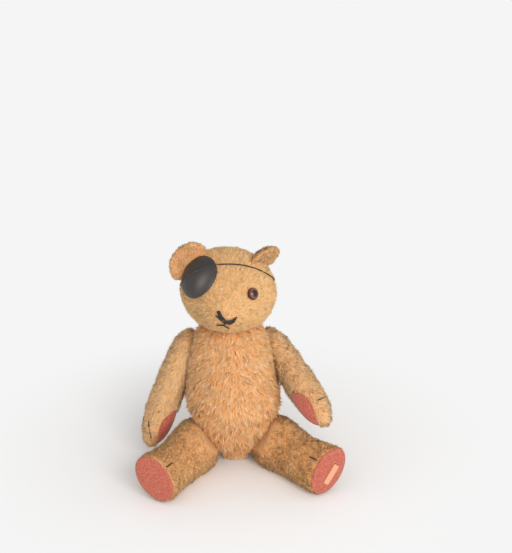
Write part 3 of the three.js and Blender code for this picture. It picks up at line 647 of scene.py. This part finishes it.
def patch_swell(flat, far):
    """Height of the leather off the head: a dome, lower above the seam, and a ridge along the fold."""
    past_seam = flat[:, 1] - SEAM_RISE - SEAM_SLOPE * flat[:, 0]
    dome = PATCH_BULGE * np.maximum(1 - far ** 2, 0) ** 0.7 * (1 - 0.35 * ease(past_seam, -1, 5))
    ridge = 0.7 * np.exp(-(past_seam / 0.9) ** 2) - 0.5 * np.exp(-((past_seam + 2.2) / 0.9) ** 2)
    return PATCH_OFF + dome + ridge, past_seam


far, around, faces = disc_grid(34, 96)
upward = far * np.sin(around)
flat = np.stack([far * np.cos(around) * (1 + PATCH_TAPER * upward), upward, 0 * far], -1)
flat[:, :2] *= PATCH_HALF
flat = turned(flat, 2, PATCH_TILT)[:, :2] + PATCH_SHIFT
under, normal = on_patch(flat)
swell, past_seam = patch_swell(flat, far)
# Leather: charcoal black and half dull, with a fine pebbled grain, browner where its edge is rubbed, and
# with a painted sheen on its dome.
leather, leather_shader = finish_of("worn black leather", IOR=1.5)
leather_place = node(leather, "ShaderNodeTexCoord")
grain = node(
    leather, "ShaderNodeTexVoronoi", [(leather_place.outputs["Object"], "Vector")], {"Scale": 1100.0},
)
bumped(leather, leather_shader, grain.outputs["Distance"], 0.25, 0.0003)
hide_wear_and_sheen = node(leather, "ShaderNodeAttribute", attribute_name="hide")
leather.node_tree.links.new(hide_wear_and_sheen.outputs["Color"], leather_shader.inputs["Base Color"])
scuffs = specks(leather, 170.0, 4.0)
scuffed = node(leather, "ShaderNodeMapRange", [(scuffs, "Value")], {"To Min": 0.36, "To Max": 0.56})
leather.node_tree.links.new(scuffed.outputs["Result"], leather_shader.inputs["Roughness"])
patch = mesh_object("leather_patch", from_face(under + swell[:, None] * normal), faces, leather)
above = ease(past_seam, -0.6, 0.6)[:, None]
edge = ease(far, 0.93, 1.0)[:, None]
hide = linear("35312f") * (1 - above) + linear("2a2726") * above
hide = hide * (1 - 0.6 * edge) + linear("3a2a22") * 0.6 * edge
# Painted sheen: a paler grey spot on the dome below the fold, which stands in for the lamp's gloss.
painted_sheen = np.exp(-(((flat - SHEEN_MIDDLE) / SHEEN_HALF) ** 2).sum(1))[:, None]
hide = hide + (linear("7d736d") - hide) * 0.5 * painted_sheen * (1 - above)
tint_corners(patch.data, "hide", hide)
with_wall(patch, PATCH_WALL)
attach(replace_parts(patch, "eye_patch"), "head")


def laid_thread(stops, normals, radius, rings, sides=8):
    """A round thread through points, with rounded ends: a sphere's grid drawn out along a cubic through
    them. Each ring lies across the curve, on axes made from its direction and the skin's normal."""
    angle, height, faces = round_grid(rings, sides)
    share = (1 + height) / 2
    stations = np.column_stack([np.linspace(0, 1, len(stops)), stops, normals])
    made = between(stations, share)
    ahead = between(stations, np.minimum(share + 0.01, 1)) - between(stations, np.maximum(share - 0.01, 0))
    ahead = ahead[:, :3] / np.linalg.norm(ahead[:, :3], axis=1)[:, None]
    side = np.cross(ahead, made[:, 3:])
    side /= np.linalg.norm(side, axis=1)[:, None]
    over = np.cross(side, ahead)
    swell = radius * np.sqrt(1 - np.abs(height) ** 14)[:, None]
    ring = np.cos(angle)[:, None] * over + np.sin(angle)[:, None] * side
    return made[:, :3] + swell * ring, faces


def joined(forms):
    """Several forms as one list of points and one of faces."""
    starts = np.cumsum([0] + [len(points) for points, _ in forms])
    faces = [[k + start for k in face] for (_, own), start in zip(forms, starts) for face in own]
    return np.concatenate([points for points, _ in forms]), faces


# Cotton thread: two plies twisted together, black and slightly waxed.
thread, thread_shader = finish_of("black waxed thread", Roughness=0.55, IOR=1.5)
ply = specks(thread, 1500.0)
two_toned(thread, thread_shader, ply, "0c0908", "2c2622")
bumped(thread, thread_shader, ply, 0.5, 0.0003)
seam_at = np.linspace(*SEAM_SPAN, SEAM_STITCHES * 2).reshape(-1, 2)
seam_forms = []
for ends in seam_at:
    run = np.linspace(*ends, 3)
    flat = np.stack([run, SEAM_RISE + SEAM_SLOPE * run + STITCH_PAST], -1)
    under, normal = on_patch(flat)
    lift, _ = patch_swell(flat, np.linalg.norm((flat - PATCH_SHIFT) / PATCH_HALF, axis=1))
    stitch = under + (lift + STITCH_OFF)[:, None] * normal
    seam_forms.append(laid_thread(stitch, normal, STITCH_RADIUS, 6, 6))
seam_points, seam_faces = joined(seam_forms)
seam_thread = mesh_object("patch_stitching", from_face(seam_points), seam_faces, thread)
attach(seam_thread, "head")

# Patch cord
# A round black elastic cord from the top corner of the patch, across the brow, round the back of the head
# and up to the patch's other side. It sinks into the pile away from the patch.
CORD_RADIUS = 0.6
CORD_STOPS = np.array([
    [-33, 40.5], [-22, 45], [2, 50.3], [26, 50.3], [54, 43.4], [85, 27],
    [130, 8], [180, -4], [230, -8], [258, -9], [274, -5], [283, 4],
])
CORD_OFF = np.array([1.9, 1.7, 1.4, 0.9, 0.3, 0.2, 0.2, 0.2, 0.2, 0.2, 0.3, 0.8])
cord_skin, cord_normal = head_skin(*CORD_STOPS.T)
cord_middle = cord_skin + CORD_OFF[:, None] * cord_normal
cord_points, cord_faces = laid_thread(cord_middle, cord_normal, CORD_RADIUS, 240)
cord = mesh_object("patch_cord_round", from_face(cord_points), cord_faces, thread)
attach(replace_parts(cord, "patch_cord"), "head")

# Nose and mouth
# Long stitches of thick black thread: a bundle of strands in a wide V for the nose, and below it a short
# stitch that parts into the two sides of the mouth.
NOSE_STRANDS = [
    [[-9.9, -13.6], [-6.5, -15.2], [-2.9, -17.4]],
    [[-9.6, -9.0], [-6.6, -13], [-2.8, -17.4]],
    [[-8.4, -8.3], [-5.6, -12], [-2, -16.6]],
    [[-7.2, -8.2], [-4.6, -11.6], [0.5, -16]],
    [[-3.5, -13.8], [1, -16.3], [6.5, -15.2]],
    [[-2.8, -17.6], [1.7, -19], [6.8, -18.4]],
    [[0, -17.6], [5.2, -16], [10.9, -11]],
    [[1, -18.6], [6.4, -17.2], [10.5, -13]],
    [[2, -19.2], [6.6, -18.8], [9.9, -15.2]],
]
MOUTH_STRANDS = [
    [[1.6, -18.8], [0.6, -20.6], [-0.3, -22.4]],
    [[-0.3, -22.4], [-4.6, -24.2], [-7.6, -26.8]],
    [[-0.3, -22.4], [2.8, -24.5], [7.2, -27.3]],
]
NOSE_RADIUS, MOUTH_RADIUS = 0.75, 0.68
THREAD_OFF = 0.9


def face_threads(name, strands, radius, node_name):
    """Stitches on the face through the given places, as one piece. Returns its points on the head."""
    forms = []
    for strand in strands:
        skin, normal = head_skin(*np.array(strand, float).T)
        forms.append(laid_thread(skin + THREAD_OFF * normal, normal, radius, 24))
    points, faces = joined(forms)
    piece = mesh_object(name, from_face(points), faces, thread)
    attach(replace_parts(piece, node_name), "head")
    return points


nose_points = face_threads("nose_thread", NOSE_STRANDS, NOSE_RADIUS, "nose_stitches")
mouth_points = face_threads("mouth_thread", MOUTH_STRANDS, MOUTH_RADIUS, "mouth_stitches")

# Pile of the head
# Short hair, rubbed into curls, that lies away from the nose. It is parted by the eye, the patch and the
# stitches, and clipped close round the muzzle.


def parted(points, pieces, low, high):
    """0 near any of the given points and 1 away from them, from the nearest distance."""
    near = np.min([np.linalg.norm(points - at, axis=1) for at in pieces], axis=0)
    return ease(near, low, high)


face = into_face(corner_points(head_skin_piece))
level = turned((face - patch_point) @ patch_axes.T - [*PATCH_SHIFT, 0], 2, -PATCH_TILT)
level_far = np.where(level[:, 2] > -22, np.linalg.norm(level[:, :2] / PATCH_HALF, axis=1), 9)
head_cover = ease(neck_clear, 0.3, 2.5) * ease(level_far, 0.86, 0.98)
head_cover *= ease(np.linalg.norm(face - eye_point, axis=1), 5.4, 7.2)
head_cover *= 0.25 + 0.75 * parted(face, [*nose_points[::6], *mouth_points[::6]], 1.6, 3.2)
nose_middle = head_form(face_direction(0.0, MUZZLE_DROP))
head_nap = from_face(face) - from_face(nose_middle[None])
head_pile = pile("head_pile", head_skin_piece, head_nap, head_cover, 58000, 3.2, 0.85, "f6ae6c", "ffd898", 2)
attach(head_pile, "head")

# Ears
# Two flat half-round flaps of plush, sewn to the sides of the head and cupped a little towards the front.
EARS = {
    "left_ear": (88, 56, np.radians(62)),
    "right_ear": (-84, 25, 0.0),
}
EAR_HALF = np.array([20.0, 4, 16])
EAR_STAND = 2
EAR_CUP = 3.0
angle, height, faces = round_grid(24, 36)
ring = np.sqrt(1 - height ** 2)
flap = np.stack([ring * np.cos(angle), ring * np.sin(angle), height], -1) * EAR_HALF
flap[:, 1] += EAR_CUP * ((flap[:, 0] / EAR_HALF[0]) ** 2 + (flap[:, 2] / EAR_HALF[2]) ** 2 - 0.5)
for seed, (name, (turn, rise, tilt)) in enumerate(EARS.items()):
    point, _ = head_skin(turn, rise)
    aim = point / np.linalg.norm(point)
    forward = np.array([0, -1.0, 0])
    forward = forward * np.cos(tilt) + np.cross(aim, forward) * np.sin(tilt)
    forward -= aim * (aim @ forward)
    forward /= np.linalg.norm(forward)
    axes = np.stack([np.cross(forward, aim), forward, aim])
    ear = mesh_object(name + "_plush", from_face(point + EAR_STAND * aim + flap @ axes), faces, cotton)
    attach(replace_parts(ear, name), "head")
    root = from_face((point - 20 * aim)[None])
    ear_nap = corner_points(ear) - root
    inside = np.linalg.norm(into_face(corner_points(ear)) / (HEAD_HALF + 1), axis=1)
    ear_pile = pile(
        name + "_pile", ear, ear_nap, 0.05 + ease(inside, 0.98, 1.05), 10000, 3.0, 0.8, "e59a5a", "ffcc90",
        20 + seed,
    )
    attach(ear_pile, "head")

# Arms
# Long plush tubes, a little bowed, with a felt pad let into the inner side of each paw.
ARM_LENGTH, ARM_TOP = 121, 15
ARM_WIDE, ARM_DEEP = 16.5, 15
ARM_MIDDLE, ARM_BOW = 7.5, 7
ARM_BLUNT = (5, 4.5)
ARM_STATIONS = np.array([
    [0, 0.95 * ARM_WIDE, 0.95 * ARM_DEEP, 0, ARM_MIDDLE],
    [0.3, 0.97 * ARM_WIDE, ARM_DEEP, -1, ARM_MIDDLE + 0.4 * ARM_BOW],
    [0.7, ARM_WIDE, ARM_DEEP, -1, ARM_MIDDLE + ARM_BOW],
    [1, 0.9 * ARM_WIDE, 0.9 * ARM_DEEP, 4, ARM_MIDDLE + ARM_BOW],
])
ARM_SWING = {"right": 15, "left": 58.5}
SIDES = {"right": -1, "left": 1}
PAW_END = ARM_LENGTH - ARM_TOP
PAW_PAD_HALF = np.array([13.0, 20])
PAW_PAD_UP = PAW_END - 2 - PAW_PAD_HALF[1]
PAW_PAD_TURN = np.radians(15)
FELT_WALL = 1.2
PAW_CLAWS = {
    "right": [[[0, 7], [15, 15], [30, 24]], [[68, 10], [74, 16], [80, 23]]],
    "left": [[[5, 20], [28, 21], [50, 23]], [[55, 9], [75, 10], [95, 12]]],
}
CLAW_RADIUS, CLAW_OFF = 0.6, 0.8
ARM_BARE = (22, 32)
INWARDS = np.array([0, -1.0, 0])
LIMB_SEAT = np.array([0, JOINT_GAP, 0])
pad_out = np.array([np.sin(PAW_PAD_TURN), -np.cos(PAW_PAD_TURN), 0])
pad_across = np.array([np.cos(PAW_PAD_TURN), np.sin(PAW_PAD_TURN), 0])


def limb_axes(joint, way, lifted, swing):
    """A limb's own axes: X in the plane of its joint, Y out along the pin and Z down the limb, with X and Z
    turned about the pin by the swing. An arm's X starts forward and a leg's starts up."""
    place, out = joint_at(joint)
    forward = way * np.cross(out, [0, 0, 1.0])
    upward = np.array([0, 0, 1.0]) - out[2] * out
    x = upward if lifted else forward
    x = x / np.linalg.norm(x)
    z = np.cross(x, -way * out)
    s = np.radians(swing)
    return place, np.stack([x * np.cos(s) - z * np.sin(s), out, x * np.sin(s) + z * np.cos(s)])


def sided(faces, way):
    """Corner orders that face outwards on a limb of the given side, because the left is a mirror image."""
    return [list(face)[::-1] for face in faces] if way > 0 else faces


# Wool felt: pressed short fibre, quite matt, rubbed paler in specks about a millimetre across.
felt, felt_shader = finish_of("brick red wool felt", Roughness=0.95, IOR=1.4, Sheen_Weight=0.3)
felt_fibre = specks(felt, 900.0, 3.0)
felt_spread = node(
    felt, "ShaderNodeMapRange", [(felt_fibre, "Value")], {"From Min": 0.35, "From Max": 0.7},
)
two_toned(felt, felt_shader, felt_spread.outputs["Result"], "a34434", "cf7c64")
bumped(felt, felt_shader, felt_fibre, 0.4, 0.0004)


def felt_pad(name, points, faces, node_name, body):
    """A felt pad with a thickness, on the body that carries it."""
    pad = mesh_object(name, points, faces, felt)
    with_wall(pad, FELT_WALL)
    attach(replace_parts(pad, node_name), body)


def bare_by_joint(local, reach):
    """1 on the flat of a limb near its pin, where the pile is rubbed off, and 0 elsewhere."""
    from_pin = np.hypot(local[:, 0], local[:, 2])
    return (1 - ease(local[:, 1] - JOINT_GAP, 0.2, 2.5)) * (1 - ease(from_pin, *reach))


def limb_skin(stops, stations, start, length, blunt, middle):
    """Points of a straight limb at angles round from its X and lengths along it, where a line out from the
    given middle meets the ellipse there, and the ellipse's normals."""
    turn, along = np.radians(stops[:, 0]), stops[:, 1]
    share = (along - start) / length
    half_x, half_y, mid_x, mid_y = between(stations, share).T
    swell = np.sqrt(1 - np.abs(2 * share - 1) ** np.where(share < 0.5, *blunt))
    half_x, half_y = half_x * swell, half_y * swell
    c, s = np.cos(turn), np.sin(turn)
    a = (c / half_x) ** 2 + (s / half_y) ** 2
    b = -mid_x * c / half_x ** 2 + (middle - mid_y) * s / half_y ** 2
    e = (mid_x / half_x) ** 2 + ((middle - mid_y) / half_y) ** 2 - 1
    reach = (-b + np.sqrt(b * b - a * e)) / a
    point = np.stack([reach * c, middle + reach * s, along], -1)
    from_axis = point - np.stack([mid_x, mid_y, along], -1)
    normal = from_axis / np.stack([half_x ** 2, half_y ** 2, np.ones_like(along)], -1)
    return point, normal / np.linalg.norm(normal, axis=1)[:, None]


for seed, (side, way) in enumerate(SIDES.items()):
    angle, height, faces = round_grid(52, 40)
    local = stuffed_form(angle, height, ARM_STATIONS - PILE_DEPTH, -ARM_TOP, ARM_LENGTH, ARM_BLUNT)
    local = pressed(local, LIMB_SEAT, INWARDS)
    place, axes = limb_axes(side + "_shoulder_swing", way, False, ARM_SWING[side])
    arm = mesh_object(side + "_arm_plush", place + local @ axes, sided(faces, way), cotton)
    stuff(arm, (local[:, 1] < 1) | (np.abs(np.cos(angle)) < 0.02), 1.2)
    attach(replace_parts(arm, side + "_arm_cover"), side + "_arm")
    off_middle = local - [0, ARM_MIDDLE + ARM_BOW, PAW_PAD_UP]
    on_pad = ((np.stack([off_middle @ pad_across, off_middle[:, 2]], -1) / PAW_PAD_HALF) ** 2).sum(1)
    on_pad = np.where(off_middle @ pad_out > 0, on_pad, 9)
    arm_cover = (1 - bare_by_joint(local, ARM_BARE)) * ease(on_pad, 0.85, 1.05)
    for number, stops in enumerate(PAW_CLAWS[side], 1):
        stops = np.array(stops, float) * [1, -1] + [0, PAW_END]
        skin, normal = limb_skin(stops, ARM_STATIONS, -ARM_TOP, ARM_LENGTH, ARM_BLUNT, ARM_MIDDLE + ARM_BOW)
        claw_points, claw_faces = laid_thread(skin + CLAW_OFF * normal, normal, CLAW_RADIUS, 30)
        arm_cover *= 0.3 + 0.7 * parted(local, claw_points[::8], 1.8, 3.0)
        claw = mesh_object(
            f"{side}_paw_thread_{number}", place + claw_points @ axes, sided(claw_faces, way), thread,
        )
        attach(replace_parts(claw, f"{side}_paw_claw_{number}"), side + "_arm")
    arm_nap = np.tile(axes[2] + 0.2 * axes[1], (len(local), 1))
    arm_pile = pile(
        side + "_arm_pile", arm, arm_nap, arm_cover, 28000, 4.6, 0.95, "f6aa66", "ffd8a0", 30 + seed,
    )
    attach(arm_pile, side + "_arm")
    far, around, faces = disc_grid(14, 48)
    across = far * PAW_PAD_HALF[0] * np.cos(around)
    along = PAW_PAD_UP + far * PAW_PAD_HALF[1] * np.sin(around)
    share = (along + ARM_TOP) / ARM_LENGTH
    half_x, half_y, mid_x, mid_y = between(ARM_STATIONS, share).T
    swell = np.sqrt(1 - np.abs(2 * share - 1) ** ARM_BLUNT[1])
    wide = np.hypot(half_x * swell * pad_across[0], half_y * swell * pad_across[1])
    lead = np.arctan2(half_y * pad_across[1], half_x * pad_across[0])
    offset = across - mid_x * pad_across[0] - (mid_y - ARM_MIDDLE - ARM_BOW) * pad_across[1]
    slant = lead - np.arccos(np.clip(offset / wide, -1, 1))
    pad = np.stack([half_x * swell * np.cos(slant), half_y * swell * np.sin(slant), along], -1)
    pad[:, :2] += np.stack([mid_x, mid_y], -1)
    pad = pressed(pad, LIMB_SEAT, INWARDS)
    pad += (0.9 + 0.5 * (1 - far ** 2))[:, None] * pad_out
    felt_pad(
        side + "_paw_felt", place + pad @ axes, sided(faces, way), side + "_paw_pad", side + "_arm",
    )

# Legs
# Stout plush tubes, bent outwards at the thigh and squashed where they lie on the floor, each closed at
# the foot by a flat felt sole.
LEG_LENGTH, LEG_TOP = 116, 25
LEG_WIDE, LEG_DEEP = 27, 21
FOOT_WIDE, FOOT_DEEP = 26, 18.5
LEG_MIDDLE = 14
LEG_BLUNT = (3.6, 40)
LEG_BEND, LEG_BEND_OVER = np.radians(20), 36
LEG_SWING = 12
LEG_BARE = (30, 40)
LEG_STATIONS = np.array([
    [0, 0.96 * LEG_WIDE, 0.92 * LEG_DEEP, -2, LEG_MIDDLE],
    [0.3, LEG_WIDE, LEG_DEEP, -2, LEG_MIDDLE],
    [0.66, 0.86 * LEG_WIDE, 0.9 * LEG_DEEP, -1, LEG_MIDDLE],
    [0.88, 0.95 * FOOT_WIDE, 0.97 * FOOT_DEEP, 2, LEG_MIDDLE],
    [1, FOOT_WIDE, FOOT_DEEP, 4, LEG_MIDDLE],
])
LEG_END = LEG_LENGTH - LEG_TOP
SOLE_MIDDLE = np.array([4.0, LEG_MIDDLE])
sole = 0.94 * np.array([FOOT_WIDE, FOOT_DEEP])
FOOT_CLAW = np.array([[-62.0, 3], [-64, 8], [-66, 14]])


def sole_height(flat):
    """The felt's height along the leg: a slight dome that turns down to the plush at its edge."""
    far = np.linalg.norm((flat - SOLE_MIDDLE) / sole, axis=1)
    return LEG_END + 0.5 + 0.8 * (1 - far ** 2) - 0.6 * far ** 8


def bent_out(points):
    """Points past the hip turn about a line across the thigh, by an angle that grows over its length."""
    bend = LEG_BEND * ease(points[:, 2], 0, LEG_BEND_OVER)
    y, z = points[:, 1] - LEG_MIDDLE, points[:, 2]
    return np.stack([
        points[:, 0],
        LEG_MIDDLE + y * np.cos(bend) + z * np.sin(bend),
        z * np.cos(bend) - y * np.sin(bend),
    ], -1)


for seed, (side, way) in enumerate(SIDES.items()):
    angle, height, faces = round_grid(60, 48)
    straight = stuffed_form(angle, height, LEG_STATIONS - PILE_DEPTH, -LEG_TOP, LEG_LENGTH, LEG_BLUNT)
    local = pressed(bent_out(straight), LIMB_SEAT, INWARDS)
    place, axes = limb_axes(side + "_hip_swing", way, True, LEG_SWING)
    points = pressed(place + local @ axes, np.zeros(3), np.array([0, 0, -1.0]))
    leg = mesh_object(side + "_leg_plush", points, sided(faces, way), cotton)
    stuff(leg, (local[:, 1] < 1) | (points[:, 2] < 1) | (straight[:, 2] > LEG_END - 6), 1.2)
    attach(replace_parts(leg, side + "_leg_cover"), side + "_leg")
    on_sole = (((straight[:, :2] - SOLE_MIDDLE) / sole) ** 2).sum(1)
    on_sole = np.where(straight[:, 2] > LEG_END - 2.5, on_sole, 9)
    leg_cover = (1 - bare_by_joint(local, LEG_BARE)) * ease(on_sole, 0.9, 1.0)
    stops = FOOT_CLAW * [1, -1] + [0, LEG_END]
    skin, normal = limb_skin(stops, LEG_STATIONS, -LEG_TOP, LEG_LENGTH, LEG_BLUNT, LEG_MIDDLE)
    claw_points, claw_faces = laid_thread(skin + CLAW_OFF * normal, normal, CLAW_RADIUS, 30)
    leg_cover *= 0.3 + 0.7 * parted(straight, claw_points[::8], 1.8, 3.0)
    claw = mesh_object(
        side + "_foot_thread", place + bent_out(claw_points) @ axes, sided(claw_faces, way), thread,
    )
    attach(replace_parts(claw, side + "_foot_claw"), side + "_leg")
    leg_nap = np.tile(axes[2] + 0.35 * axes[1], (len(local), 1))
    leg_pile = pile(
        side + "_leg_pile", leg, leg_nap, leg_cover, 36000, 3.8, 0.95, "ffaa5c", "ffd292", 40 + seed,
    )
    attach(leg_pile, side + "_leg")
    far, around, faces = disc_grid(14, 56)
    flat = SOLE_MIDDLE + sole * np.stack([far * np.cos(around), far * np.sin(around)], -1)
    pad = np.column_stack([flat, sole_height(flat)])
    felt_pad(
        side + "_sole_felt",
        np.maximum(place + bent_out(pad) @ axes, [-999, -999, 0.3]),
        sided(faces, way),
        side + "_foot_pad",
        side + "_leg",
    )

# Label
# A short length of plain woven tape, sewn flat on the left sole. Its cloth has faded to a dull peach.
LABEL_HALF = np.array([10.5, 3.5])
LABEL_MIDDLE = np.array([2.0, 18])
LABEL_TURN = np.radians(4)
LABEL_WALL = 0.5
across, along = np.meshgrid(np.linspace(-1, 1, 25), np.linspace(-1, 1, 9))
tape = np.stack([across.ravel() * LABEL_HALF[0], along.ravel() * LABEL_HALF[1], 0 * across.ravel()], -1)
tape = turned(tape, 2, LABEL_TURN)
tape[:, :2] += LABEL_MIDDLE
tape[:, 2] = sole_height(tape[:, :2]) + LABEL_WALL
row, column = np.meshgrid(np.arange(8), np.arange(24), indexing="ij")
first = (row * 25 + column).ravel()
tape_faces = np.stack([first, first + 1, first + 26, first + 25], -1).tolist()
# Woven cotton tape: dull, with a weave that is uneven at under a millimetre.
cloth_tape, tape_shader = finish_of("faded woven cotton tape", Roughness=0.9, IOR=1.4)
tape_weave = specks(cloth_tape, 1300.0, 3.0)
two_toned(cloth_tape, tape_shader, tape_weave, "cf8e6a", "eeb692")
bumped(cloth_tape, tape_shader, tape_weave, 0.4, 0.0003)
place, axes = limb_axes("left_hip_swing", 1, True, LEG_SWING)
label = mesh_object("sole_tape", place + bent_out(tape) @ axes, sided(tape_faces, 1), cloth_tape)
with_wall(label, LABEL_WALL)
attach(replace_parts(label, "foot_label"), "left_leg")

# Inside
# What the covers hide: white wadding, and a joint of two hardboard discs, two steel washers and a split
# pin at the neck, each shoulder and each hip. The eye's wire shank is steel too.
# Cotton wadding: soft matt fibre in tufts of about 3 mm.
wadding, wadding_shader = finish_of("cotton wadding", Roughness=1.0, IOR=1.3)
two_toned(wadding, wadding_shader, specks(wadding, 350.0), "cfc3aa", "e6dcc8")
# Hardboard: pressed wood fibre, half dull, with flecks of about 1 mm.
hardboard, hardboard_shader = finish_of("pressed hardboard", Roughness=0.8, IOR=1.45)
two_toned(hardboard, hardboard_shader, specks(hardboard, 900.0), "6b4629", "8a613d")
# Mild steel: drawn and stamped, greyed in spots of about 2 mm.
steel, steel_shader = finish_of("mild steel", Roughness=0.4, Metallic=1.0)
two_toned(steel, steel_shader, specks(steel, 500.0), "7f7e7b", "a9a8a4")
INNER_LOOKS = {"stuffing": wadding, "disc": hardboard, "washer": steel, "pin": steel, "shank": steel}
for name, piece in frame["nodes"].items():
    kind = name.split("_")[-1]
    if kind in INNER_LOOKS:
        piece.data.materials.clear()
        piece.data.materials.append(INNER_LOOKS[kind])

bpy.context.view_layer.update()
